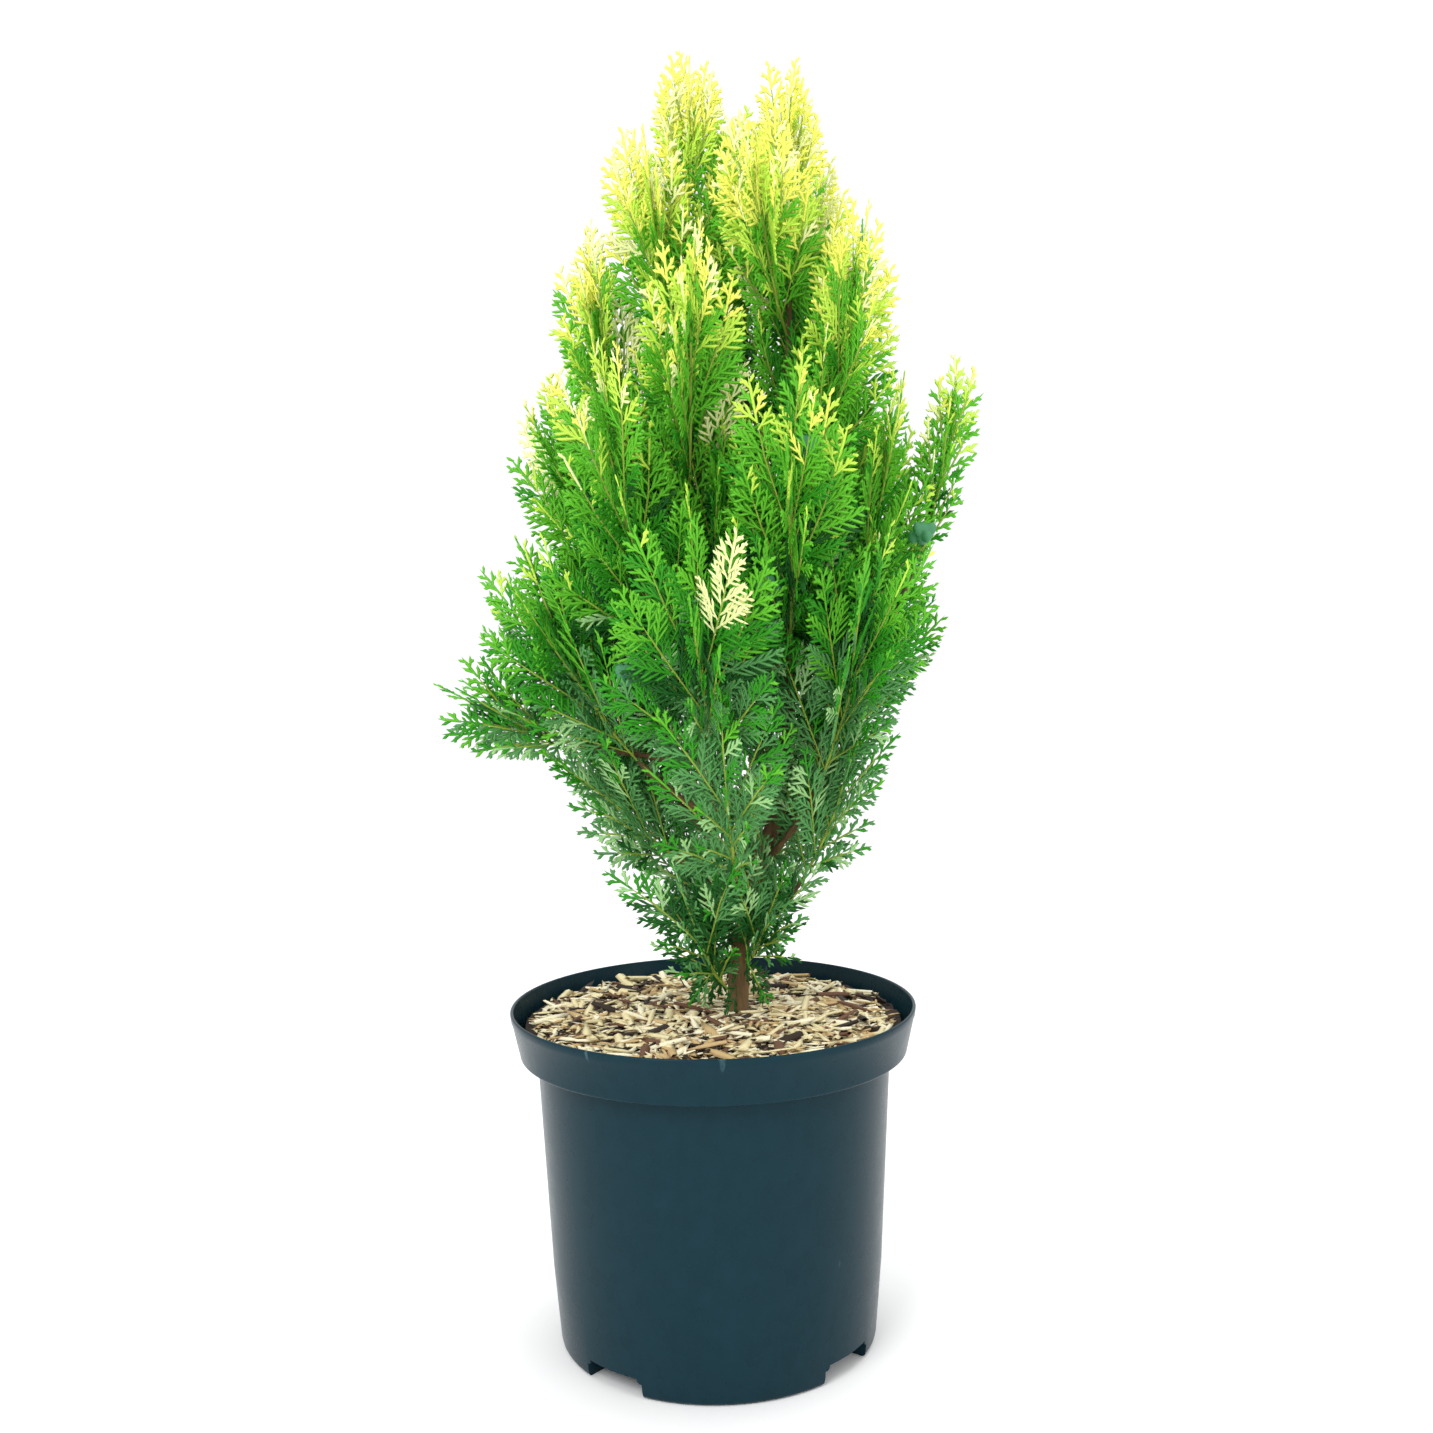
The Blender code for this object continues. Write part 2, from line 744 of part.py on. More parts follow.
def main():
    clear_scene()
    materials = make_materials()
    parts = new_collection("potted arborvitae")
    cutters = new_collection("cutters")

    make_pot(parts, cutters, materials["pot_plastic"])
    make_mix(parts, materials["peat"])
    make_chips(parts, materials["chips"])

    limbs = make_limbs()
    shoots = make_shoots(limbs)
    hard = []
    for limb in limbs:
        resolution = 2 if limb.name == "trunk" else 1
        add_object(limb.name, limb.mesh(resolution), parts, materials["bark"])
        hard.append(("", tree_of(limb.mesh(resolution, LIMB_MARGIN), Matrix())))
    for shoot in shoots:
        if shoot.bough_end:
            bough = shoot.bough()
            add_object(bough.name, bough.mesh(1), parts, materials["bark"])
            hard.append(("", tree_of(bough.mesh(1, LIMB_MARGIN), Matrix())))
        hard.append((shoot.name, tree_of(shoot.stem().mesh(0, LIMB_MARGIN), Matrix())))

    sprays = [spray_mesh(variant) for variant in range(SPRAY_VARIANTS)]
    space = Space(shoots, hard)
    cones = {shoot.name: [] for shoot in shoots}
    for place in map(Vector, CONE_PLACES):
        bearer = min(shoots, key=lambda shoot: nearest(place, shoot.stem().line))
        cones[bearer.name].append(place)
    for shoot in shoots:
        material = materials[TIER_COLOURS[shoot.tier]]
        make_mass(shoot, space, sprays, cones[shoot.name], parts, material)


main()
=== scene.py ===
# Potted oriental arborvitae: a young conifer in a round nursery pot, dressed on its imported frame.
import math
import random

import bmesh
import bpy
import numpy as np
from mathutils import Matrix, Vector, noise
from mathutils.geometry import intersect_point_line


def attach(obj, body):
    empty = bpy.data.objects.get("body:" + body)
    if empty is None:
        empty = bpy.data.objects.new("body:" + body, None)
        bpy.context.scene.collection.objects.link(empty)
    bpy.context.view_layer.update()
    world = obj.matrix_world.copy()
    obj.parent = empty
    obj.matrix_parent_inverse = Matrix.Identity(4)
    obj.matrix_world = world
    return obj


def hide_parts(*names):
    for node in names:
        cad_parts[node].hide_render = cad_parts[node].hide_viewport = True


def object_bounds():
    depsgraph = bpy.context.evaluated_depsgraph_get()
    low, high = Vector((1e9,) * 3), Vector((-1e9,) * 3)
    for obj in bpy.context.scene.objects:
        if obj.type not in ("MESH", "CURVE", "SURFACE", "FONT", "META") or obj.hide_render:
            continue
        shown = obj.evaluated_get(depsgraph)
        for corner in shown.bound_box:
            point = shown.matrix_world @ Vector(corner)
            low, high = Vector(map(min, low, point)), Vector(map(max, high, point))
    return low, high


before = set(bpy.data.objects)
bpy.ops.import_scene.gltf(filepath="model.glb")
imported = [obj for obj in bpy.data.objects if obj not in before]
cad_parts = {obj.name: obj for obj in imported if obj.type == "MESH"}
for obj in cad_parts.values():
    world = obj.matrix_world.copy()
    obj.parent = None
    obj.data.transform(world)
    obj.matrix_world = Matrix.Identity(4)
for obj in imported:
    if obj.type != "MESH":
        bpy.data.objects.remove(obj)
cad_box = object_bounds()
nodes = list(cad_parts)

# Nursery pot.
# A deep container of about 7.5 litres, injection moulded in one piece from polypropylene,
# with a band that stiffens its rim and four feet moulded into its base.
POT_HEIGHT = 0.2155
RIM_RADIUS = 0.130
BAND_HEIGHT = 0.0292
BAND_FOOT_RADIUS = 0.1243
BODY_TOP_RADIUS = 0.1132
BASE_RADIUS = 0.1021
WALL = 0.0022
FLOOR_TOP = 0.0155
FLOOR_RADIUS = 0.1005
INNER_STEP_RADIUS = 0.1219
BAND_ROUND = 0.0020
FOOT_ROUND = 0.0030
TURNED_SIDES = 144
NOTCH_COUNT = 4
NOTCH_ROUND = 0.003
NOTCH_SIZE = (0.060, 0.044, 0.024)
FIRST_NOTCH_BEARING = math.radians(231)


def colour(hex_value):
    """Linear red, green, blue and alpha from an sRGB hex value."""
    parts = [int(hex_value[i : i + 2], 16) / 255 for i in (0, 2, 4)]
    linear = [p / 12.92 if p <= 0.04045 else ((p + 0.055) / 1.055) ** 2.4 for p in parts]
    return (*linear, 1.0)


def node(tree, kind, settings=None, links=None, **sockets):
    """Adds a node with its settings, its links as {input: output socket}, and socket values."""
    made = tree.nodes.new(kind)
    for key, value in (settings or {}).items():
        setattr(made, key, value)
    for key, value in sockets.items():
        made.inputs[key.replace("_", " ")].default_value = value
    for key, source in (links or {}).items():
        tree.links.new(source, made.inputs[key])
    return made


def finish_material(name, hex_value, roughness, ior=1.5, **sockets):
    """A material with one Principled shader in a plain colour, its node tree and the shader."""
    material = bpy.data.materials.new(name)
    material.use_nodes = True
    shader = material.node_tree.nodes["Principled BSDF"]
    shader.inputs["Base Color"].default_value = colour(hex_value)
    shader.inputs["Roughness"].default_value = roughness
    shader.inputs["IOR"].default_value = ior
    for key, value in sockets.items():
        shader.inputs[key.replace("_", " ")].default_value = value
    return material, material.node_tree, shader


def add_piece(name, mesh, material, slot, *replaced):
    """Links a piece, gives it its material, and lets it ride on the one body."""
    piece = bpy.data.objects.new(name, mesh)
    bpy.context.scene.collection.objects.link(piece)
    mesh.materials.clear()
    mesh.materials.append(material)
    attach(piece, "root")
    if replaced:
        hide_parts(*replaced)


def applied(obj):
    """The object's mesh with its modifiers applied; the object goes."""
    bpy.context.view_layer.update()
    graph = bpy.context.evaluated_depsgraph_get()
    mesh = bpy.data.meshes.new_from_object(obj.evaluated_get(graph))
    bpy.data.objects.remove(obj)
    return mesh


def arc(middle, radius, first, last, steps):
    """Points of a round edge, by angle in degrees."""
    angles = [math.radians(first + (last - first) * i / steps) for i in range(steps + 1)]
    return [(middle[0] + radius * math.cos(a), middle[1] + radius * math.sin(a)) for a in angles]


def pot_profile():
    """Radius and height along the inside from the floor, over the lip, and down the outside."""
    step = POT_HEIGHT - BAND_HEIGHT
    lip = WALL / 2
    profile = [(0.0, FLOOR_TOP), (FLOOR_RADIUS, FLOOR_TOP)]
    profile += [(BODY_TOP_RADIUS - WALL, step + 0.001), (INNER_STEP_RADIUS, step + 0.0034)]
    profile += arc((RIM_RADIUS - lip, POT_HEIGHT - lip), lip, 180, 0, 8)
    # The lip ends 5 mm down, in a step of half a millimetre.
    profile += [(RIM_RADIUS - 0.0004, POT_HEIGHT - 0.0046), (RIM_RADIUS - 0.0009, POT_HEIGHT - 0.0052)]
    profile += arc((BAND_FOOT_RADIUS - BAND_ROUND, step + BAND_ROUND), BAND_ROUND, 0, -90, 6)
    profile += arc((BODY_TOP_RADIUS + WALL, step - WALL), WALL, 90, 180, 5)
    # The wall draws in a little faster over its last 50 mm.
    profile += [(BASE_RADIUS + 0.0042, 0.050), (BASE_RADIUS + 0.0003, 0.004)]
    profile += arc((BASE_RADIUS - FOOT_ROUND, FOOT_ROUND), FOOT_ROUND, 0, -90, 5)
    return profile + [(0.0, 0.0)]


def notch_cutter(bearing):
    """A block with rounded edges, set across the base's rim."""
    shape = bmesh.new()
    bmesh.ops.create_cube(shape, size=1)
    bmesh.ops.scale(shape, vec=NOTCH_SIZE, verts=shape.verts)
    edges = list(shape.edges)
    bmesh.ops.bevel(shape, geom=edges, offset=NOTCH_ROUND, segments=3, affect="EDGES")
    block = bpy.data.meshes.new("notch")
    shape.to_mesh(block)
    shape.free()
    cutter = bpy.data.objects.new("notch", block)
    bpy.context.scene.collection.objects.link(cutter)
    cutter.location = (BASE_RADIUS * math.cos(bearing), BASE_RADIUS * math.sin(bearing), 0)
    cutter.rotation_euler.z = bearing
    return cutter


def pot_mesh():
    """The profile turned round its axis, with the notches cut that leave the feet."""
    profile = pot_profile()
    mesh = bpy.data.meshes.new("pot_profile")
    edges = [(i, i + 1) for i in range(len(profile) - 1)]
    mesh.from_pydata([(radius, 0, height) for radius, height in profile], edges, [])
    pot = bpy.data.objects.new("pot_profile", mesh)
    bpy.context.scene.collection.objects.link(pot)
    turn = pot.modifiers.new("turn", "SCREW")
    turn.steps = turn.render_steps = TURNED_SIDES
    turn.use_merge_vertices = True
    turn.merge_threshold = 1e-5
    cutters = []
    for i in range(NOTCH_COUNT):
        cutter = notch_cutter(FIRST_NOTCH_BEARING + i * math.tau / NOTCH_COUNT)
        cut = pot.modifiers.new("notch", "BOOLEAN")
        cut.operation = "DIFFERENCE"
        cut.object = cutter
        cutters.append(cutter)
    made = applied(pot)
    for cutter in cutters:
        bpy.data.objects.remove(cutter)
    made.shade_smooth()
    made.set_sharp_from_angle(angle=math.radians(38))
    return made


# Polypropylene, injection moulded in a polished mould: a soft gloss over a dark petrol blue,
# faintly mottled, with a few pale rub marks from stacking. The mottling is 11 mm across, and
# the noise whose peaks show as rub marks is 11 mm wide and 45 mm long.
moulded, tree, shader = finish_material(
    "moulded_polypropylene", "143642", 0.30, 1.49, Specular_IOR_Level=0.10
)
place = node(tree, "ShaderNodeTexCoord").outputs["Object"]
mottle_place = node(tree, "ShaderNodeMapping", links={"Vector": place}, Scale=(30, 30, 24))
mottle = node(
    tree, "ShaderNodeTexNoise", links={"Vector": mottle_place.outputs[0]}, Scale=3.0, Detail=4.0
)
rub_place = node(tree, "ShaderNodeMapping", links={"Vector": place}, Scale=(90, 90, 22))
rubs = node(
    tree, "ShaderNodeTexNoise", links={"Vector": rub_place.outputs[0]}, Scale=1.0, Detail=3.0
)
rub_mask = node(
    tree, "ShaderNodeMapRange", links={"Value": rubs.outputs[0]}, From_Min=0.74, From_Max=0.82
)
tone = node(tree, "ShaderNodeMix", {"data_type": "RGBA"}, {"Factor": mottle.outputs[0]})
tone.inputs["A"].default_value = colour("0d2932")
tone.inputs["B"].default_value = colour("13323c")
rubbed = node(tree, "ShaderNodeMix", {"data_type": "RGBA"}, {"Factor": rub_mask.outputs[0]})
tree.links.new(tone.outputs["Result"], rubbed.inputs["A"])
rubbed.inputs["B"].default_value = colour("4c6872")
tree.links.new(rubbed.outputs["Result"], shader.inputs["Base Color"])
gloss = node(
    tree, "ShaderNodeMapRange", links={"Value": mottle.outputs[0]}, To_Min=0.22, To_Max=0.34
)
tree.links.new(gloss.outputs[0], shader.inputs["Roughness"])
skin = node(tree, "ShaderNodeBump", links={"Height": mottle.outputs[0]}, Strength=0.02, Distance=0.0003)
tree.links.new(skin.outputs[0], shader.inputs["Normal"])
add_piece("pot_shell", pot_mesh(), moulded, "pot_plastic", "pot")

# Potting mix and wood chips.
# Dark peat fills the pot to a finger's width under its rim, and a mulch of split softwood
# lies loose on it: pale splinters, tan chips, and bits of dark and reddish bark.
MULCH_LEVEL = 0.2048
MULCH_REACH = 0.1205
MULCH_DOME = 0.0026
MULCH_RELIEF = 0.0016
CRUMB_RELIEF = 0.0012
SOIL_SEGMENTS = 128
TRUNK_FOOT = (0.016, 0.000)
TRUNK_ROOM = 0.010
SPLINTER_COUNT = 2600
CHIP_SEED = 5
CHIP_DEPTH = 0.0034
# Lengths follow a gamma law with a mean of 14 mm, between a shortest and a longest.
CHIP_LENGTH_LAW = (3.0, 0.0046)
CHIP_LENGTHS = (0.005, 0.036)
CHIP_TILT = 0.16
STEEPEST_CHIP = 0.35


def mulch_height(x, y):
    """The mulch is domed a little, and uneven by the thickness of a chip."""
    share = min(math.hypot(x, y) / MULCH_REACH, 1.0)
    rough = noise.noise(Vector((x * 90, y * 90, 0))) * MULCH_RELIEF
    return MULCH_LEVEL + MULCH_DOME * (1 - share**2) + rough


def soil_mesh():
    """A closed body of mix: a crumbly top, and sides that follow the pot's wall."""
    shape = bmesh.new()
    rings = [(MULCH_REACH * share, MULCH_LEVEL) for share in np.linspace(0.02, 1, 40)]
    step = POT_HEIGHT - BAND_HEIGHT
    rings += [(MULCH_REACH, step + 0.0052), (BODY_TOP_RADIUS - WALL - 0.0004, step + 0.0002)]
    rings += [(FLOOR_RADIUS - 0.0003, FLOOR_TOP + 0.0005)]
    circles = []
    for radius, height in rings:
        circle = []
        for i in range(SOIL_SEGMENTS):
            turn = math.tau * i / SOIL_SEGMENTS
            x, y = radius * math.cos(turn), radius * math.sin(turn)
            crumb = noise.noise(Vector((x * 260, y * 260, 3))) * CRUMB_RELIEF
            top = mulch_height(x, y) + crumb
            circle.append(shape.verts.new((x, y, top if height == MULCH_LEVEL else height)))
        circles.append(circle)
    for inner, outer in zip(circles, circles[1:]):
        for i in range(SOIL_SEGMENTS):
            j = (i + 1) % SOIL_SEGMENTS
            shape.faces.new((inner[i], outer[i], outer[j], inner[j]))
    shape.faces.new(circles[0])
    shape.faces.new(circles[-1][::-1])
    mesh = bpy.data.meshes.new("soil")
    shape.to_mesh(mesh)
    shape.free()
    mesh.shade_smooth()
    return mesh


def slivers(places, along, flat, length, width, thick, bend, foot=0.8, widest=0.45):
    """Corners and faces of many pointed four-sided slivers, each laid out from its foot.

    Every sliver has a foot, is widest a share of the way up, and ends in a point: twelve triangles.
    """
    side = np.cross(flat, along)
    rings = []
    for share, swell in ((0.0, foot), (widest, 1.0)):
        middle = places + along * (length * share)[:, None] + side * (bend * share**2)[:, None]
        across = side * (width * swell)[:, None]
        deep = flat * (thick * swell)[:, None]
        rings += [middle + across, middle + deep, middle - across, middle - deep]
    rings.append(places + along * length[:, None] + side * bend[:, None])
    corners = np.stack(rings, axis=1).reshape(-1, 3)
    quads = [(i, 4 + i, 4 + (i + 1) % 4, (i + 1) % 4) for i in range(4)]
    pattern = [(a, c, b) for a, b, c, d in quads] + [(a, d, c) for a, b, c, d in quads]
    pattern += [(4 + i, 8, 4 + (i + 1) % 4) for i in range(4)]
    pattern = np.array([(a, c, b) if n >= 8 else (a, b, c) for n, (a, b, c) in enumerate(pattern)])
    first = np.arange(len(places))[:, None, None] * 9
    return corners, (pattern[None] + first).reshape(-1, 3)


def mesh_from_arrays(name, corners, faces):
    """A mesh of triangles, from arrays of corners and of corner numbers."""
    mesh = bpy.data.meshes.new(name)
    mesh.vertices.add(len(corners))
    mesh.vertices.foreach_set("co", corners.astype(np.float32).ravel())
    mesh.loops.add(faces.size)
    mesh.loops.foreach_set("vertex_index", faces.astype(np.int32).ravel())
    mesh.polygons.add(len(faces))
    mesh.polygons.foreach_set("loop_start", np.arange(0, faces.size, 3, dtype=np.int32))
    mesh.update(calc_edges=True)
    mesh.validate()
    return mesh


# Peat, screened and watered in: near black, with no shine, in grains of about 0.6 mm.
peat, tree, shader = finish_material("damp_peat", "33241a", 0.95)
grain = node(tree, "ShaderNodeTexNoise", Scale=420.0, Detail=5.0)
dug = node(tree, "ShaderNodeBump", links={"Height": grain.outputs[0]}, Strength=0.8, Distance=0.001)
tree.links.new(dug.outputs[0], shader.inputs["Normal"])
add_piece("soil_crumbs", soil_mesh(), peat, "peat", "potting_mix")

# Softwood split by a chipper: raw and dull, from straw to brown by how weathered each bit is.
# Its fibres are drawn about 1 mm across, coarser than real ones, so that they show.
CHIP_WOODS = (
    ("straw_splinters", "e6d8aa", 0.34),
    ("pale_splinters", "f4ebcb", 0.24),
    ("tan_splinters", "c8aa78", 0.18),
    ("brown_bark_bits", "6b4a35", 0.13),
    ("dark_bark_bits", "2e2118", 0.11),
)
rng = np.random.default_rng(CHIP_SEED)
kinds = rng.choice(len(CHIP_WOODS), SPLINTER_COUNT, p=[share for _, _, share in CHIP_WOODS])
for index, (name, hex_value, _) in enumerate(CHIP_WOODS):
    count = int((kinds == index).sum())
    length = rng.gamma(*CHIP_LENGTH_LAW, count).clip(*CHIP_LENGTHS)
    radius = (MULCH_REACH - 0.004) * np.sqrt(rng.random(count))
    bearing = rng.random(count) * math.tau
    middle = np.stack([radius * np.cos(bearing), radius * np.sin(bearing)], axis=1)
    heading = rng.random(count) * math.tau
    pitch = rng.normal(0, CHIP_TILT, count).clip(-STEEPEST_CHIP, STEEPEST_CHIP)
    along = np.stack(
        [np.cos(heading) * np.cos(pitch), np.sin(heading) * np.cos(pitch), np.sin(pitch)], axis=1
    )
    foot = middle - along[:, :2] * length[:, None] / 2
    tip = middle + along[:, :2] * length[:, None] / 2
    reach = np.maximum(np.hypot(*foot.T), np.hypot(*tip.T))
    off_trunk = np.hypot(middle[:, 0] - TRUNK_FOOT[0], middle[:, 1] - TRUNK_FOOT[1]) > TRUNK_ROOM
    keep = (reach < MULCH_REACH - 0.001) & off_trunk
    level = np.array([mulch_height(x, y) for x, y in middle]) + rng.random(count) * CHIP_DEPTH
    places = np.column_stack([foot, level - along[:, 2] * length / 2])
    side = np.stack([-np.sin(heading), np.cos(heading), rng.normal(0, 0.3, count)], axis=1)
    flat = np.cross(along, side)
    flat /= np.linalg.norm(flat, axis=1, keepdims=True)
    width = length * rng.uniform(0.05, 0.13, count) + 0.0005
    corners, faces = slivers(
        places[keep], along[keep], flat[keep], length[keep], width[keep], width[keep] * 0.45,
        rng.normal(0, 0.0008, count)[keep],
    )
    wood, tree, shader = finish_material(f"split_softwood_{index + 1}", hex_value, 0.85)
    fibre_place = node(tree, "ShaderNodeTexCoord").outputs["Object"]
    fibre = node(tree, "ShaderNodeTexNoise", links={"Vector": fibre_place}, Scale=900.0, Detail=2.0)
    raised = node(
        tree, "ShaderNodeBump", links={"Height": fibre.outputs[0]}, Strength=0.4, Distance=0.0004
    )
    tree.links.new(raised.outputs[0], shader.inputs["Normal"])
    add_piece(name, mesh_from_arrays(name, corners, faces), wood, "chips", "wood_chips")

# Trunk, leaders and boughs.
# One stem forks a hand above the soil and again at twice that height, into three leaders.
# Boughs leave them sideways and turn up. The bark is thin and stringy, and peels in strips
# along the limb. The rule and seed that place limbs and shoots are those of the solids.
SEED = 11
GAP = 0.0003
MIX_TOP = 0.2000
GROUND = MIX_TOP + GAP
FOOT_RINGS = (0.0, 0.005, 0.013)
TRUNK_ROUTE = (
    (0.0162, 0.000, GROUND + 0.026),
    (0.021, 0.002, 0.270),
    (0.030, 0.004, 0.304),
    (0.047, 0.006, 0.342),
    (0.052, 0.004, 0.400),
    (0.050, 0.000, 0.500),
    (0.054, 0.000, 0.600),
    (0.057, 0.002, 0.700),
)
TRUNK_RADII = (0.0064, 0.0018)
FLARE = 0.0040
FLARE_HEIGHT = 0.014
LEFT_ROUTE = (
    (0.012, -0.004, 0.330),
    (-0.004, -0.010, 0.372),
    (-0.009, -0.012, 0.450),
    (-0.010, -0.010, 0.550),
    (-0.010, -0.006, 0.650),
    (-0.006, -0.004, 0.710),
)
LEFT_FORK_HEIGHT = 0.296
MIDDLE_ROUTE = (
    (0.036, 0.032, 0.462),
    (0.030, 0.040, 0.520),
    (0.029, 0.040, 0.600),
    (0.030, 0.034, 0.690),
)
MIDDLE_FORK_HEIGHT = 0.420
LEADER_RADII = (0.0040, 0.0016)
LEADER_COLLAR = 0.0068
LIMB_RINGS = 17
MIDDLE_LINE = ((0.24, 0.008), (0.45, 0.002), (0.62, 0.010), (0.80, 0.028))
REACH = (
    (0.27, 0.026),
    (0.33, 0.050),
    (0.42, 0.100),
    (0.52, 0.122),
    (0.62, 0.112),
    (0.70, 0.094),
    (0.76, 0.062),
    (0.81, 0.030),
)
INNER_SHARE = 0.42
TIERS = {
    "shoulder": (4, 12, 0.752, 0.130, 0.0, 5, 0.078),
    "upper": (5, 40, 0.694, 0.175, 0.0, 6, 0.088),
    "inner": (3, 265, 0.590, 0.160, 0.0, 6, 0.090),
    "mid": (6, -8, 0.612, 0.190, 0.0, 6, 0.096),
    "belly": (6, 22, 0.515, 0.185, 0.30, 6, 0.096),
    "low": (5, -18, 0.418, 0.145, 0.25, 5, 0.088),
    "skirt": (4, 235, 0.322, 0.070, 0.0, 5, 0.066),
}
TIER_JITTER = (5.0, 0.012)
START_SPREAD = 0.045
SHOOT_BEND = 0.55
TURNS_TRIED = (0, 7, -7, 14, -14, 21, -21)
LIFTS_TRIED = (0.0, 0.012, -0.012, 0.024, -0.024)
SHOOT_ROOM = 0.010
LEAVE_LENGTH = 0.014
LEAVE_ROOM = 0.011
STRAYS = {
    "outer_right": ((0.164, -0.010, 0.620), 0.375, 0.50, 6, 0.056),
    "drooping_left": ((-0.166, -0.020, 0.424), 0.372, 0.45, 5, 0.062),
}
TOP_TIPS = {
    "trunk": (0.057, 0.002, 0.804),
    "left_leader": (-0.004, -0.004, 0.812),
    "middle_leader": (0.031, 0.030, 0.782),
}
TOP_SPRAYS = (5, 0.066)
BOUGH_RADII = (0.0026, 0.0015)
STEM_RADII = (0.0014, 0.0007)
STEM_RINGS = 5
SWEEP_STEPS = 32


def between(table, z):
    """The value at height z in a table of heights and values."""
    if z <= table[0][0]:
        return table[0][1]
    for (low, first), (high, last) in zip(table, table[1:]):
        if z <= high:
            return first + (last - first) * (z - low) / (high - low)
    return table[-1][1]


def smooth_route(route, steps=8):
    """A smooth line through the points of a route, by Catmull and Rom's rule."""
    points = [Vector(p) for p in route]
    padded = [points[0] * 2 - points[1], *points, points[-1] * 2 - points[-2]]
    line = []
    for a, b, c, d in zip(padded, padded[1:], padded[2:], padded[3:]):
        for i in range(steps):
            t = i / steps
            line.append(
                0.5 * (2 * b + (c - a) * t + (2 * a - 5 * b + 4 * c - d) * t**2)
                + 0.5 * (3 * b - a - 3 * c + d) * t**3
            )
    line.append(points[-1])
    return line


def sweep(start, tip):
    """A shoot that leaves its limb sideways and turns up towards its tip."""
    line = []
    for i in range(SWEEP_STEPS + 1):
        t = i / SWEEP_STEPS
        out = SHOOT_BEND * math.sin(t * math.pi / 2) + (1 - SHOOT_BEND) * t
        rise = SHOOT_BEND * (1 - math.cos(t * math.pi / 2)) + (1 - SHOOT_BEND) * t
        across = (tip - start).to_2d() * out
        line.append(start + Vector((*across, (tip.z - start.z) * rise)))
    return line


def line_length(line):
    """The length of a line of straight pieces."""
    return sum((b - a).length for a, b in zip(line, line[1:]))


def stretch(line, start, end, count):
    """Evenly spaced points on the line, from one distance along it to another."""
    wanted = [start + (end - start) * i / (count - 1) for i in range(count)]
    points = []
    for distance in wanted:
        left = distance
        for a, b in zip(line, line[1:]):
            step = (b - a).length
            if left <= step or b is line[-1]:
                points.append(a + (b - a) * (left / step))
                break
            left -= step
    return points


class Limb:
    """A trunk, leader, bough or stem: a line with a radius at each end."""

    def __init__(self, name, line, radii, flare=0.0):
        self.name = name
        self.line = line
        self.length = line_length(line)
        self.radii = radii
        self.flare = flare

    def radius(self, distance):
        share = min(max(distance / self.length, 0), 1)
        taper = self.radii[0] + (self.radii[1] - self.radii[0]) * share
        return taper + self.flare * math.exp(-distance / FLARE_HEIGHT)

    def at_height(self, z):
        """The point of the line at height z, and the radius there."""
        travelled = 0.0
        for a, b in zip(self.line, self.line[1:]):
            if a.z <= z <= b.z:
                share = (z - a.z) / (b.z - a.z)
                return a + (b - a) * share, self.radius(travelled + share * (b - a).length)
            travelled += (b - a).length
        return self.line[-1], self.radii[1]


def leave(limb, height, towards, thickness):
    """Where a shoot starts on a limb: its end face stands clear of the limb's side."""
    middle, radius = limb.at_height(height)
    out = (towards - middle).to_2d().normalized().to_3d()
    leaving = Vector(((towards - middle).to_2d().length * (1 + SHOOT_BEND * (math.pi / 2 - 1)), 0))
    leaving.y = (towards.z - height) * (1 - SHOOT_BEND)
    clear = radius + GAP + thickness * max(leaving.normalized().y, 0)
    start = middle + out * clear
    while nearest(start, limb.line) < clear:
        start += out * GAP
    return start


def limb_line(route):
    """A route made smooth, then cut into even straight pieces."""
    smooth = smooth_route(route)
    return stretch(smooth, 0, line_length(smooth), LIMB_RINGS)


def make_limbs():
    """The trunk from its foot, and the two leaders that fork from it."""
    foot = [Vector((*TRUNK_FOOT, GROUND + height)) for height in FOOT_RINGS]
    trunk = Limb("trunk", foot + limb_line(TRUNK_ROUTE), TRUNK_RADII, FLARE)
    limbs = [trunk]
    for name, route, fork in (
        ("left_leader", LEFT_ROUTE, LEFT_FORK_HEIGHT),
        ("middle_leader", MIDDLE_ROUTE, MIDDLE_FORK_HEIGHT),
    ):
        start = leave(trunk, fork, Vector(route[0]), LEADER_COLLAR)
        limbs.append(Limb(name, limb_line((start, *route)), LEADER_RADII))
    return limbs


def crown_tip(bearing, z, share):
    """Where a shoot ends: a share of the way out to the crown's outline, at height z."""
    reach = between(REACH, z) * share
    middle = between(MIDDLE_LINE, z)
    return Vector((middle + reach * math.cos(bearing), reach * math.sin(bearing), z))


def nearest(point, line):
    """The distance from a point to a line of straight pieces."""
    found = math.inf
    for a, b in zip(line, line[1:]):
        foot, share = intersect_point_line(point, a, b)
        foot = a if share < 0 else b if share > 1 else foot
        found = min(found, (point - foot).length)
    return found


def line_gap(first, second):
    """About how near two lines come to each other."""
    return min(nearest(point, second) for point in first[::2])


def leaves_cleanly(line, limb):
    """Whether a shoot moves away from its own limb, and doesn't lie along it."""
    past = stretch(line, LEAVE_LENGTH, line_length(line), SWEEP_STEPS // 2)
    return all(nearest(point, limb.line) > LEAVE_ROOM for point in past)


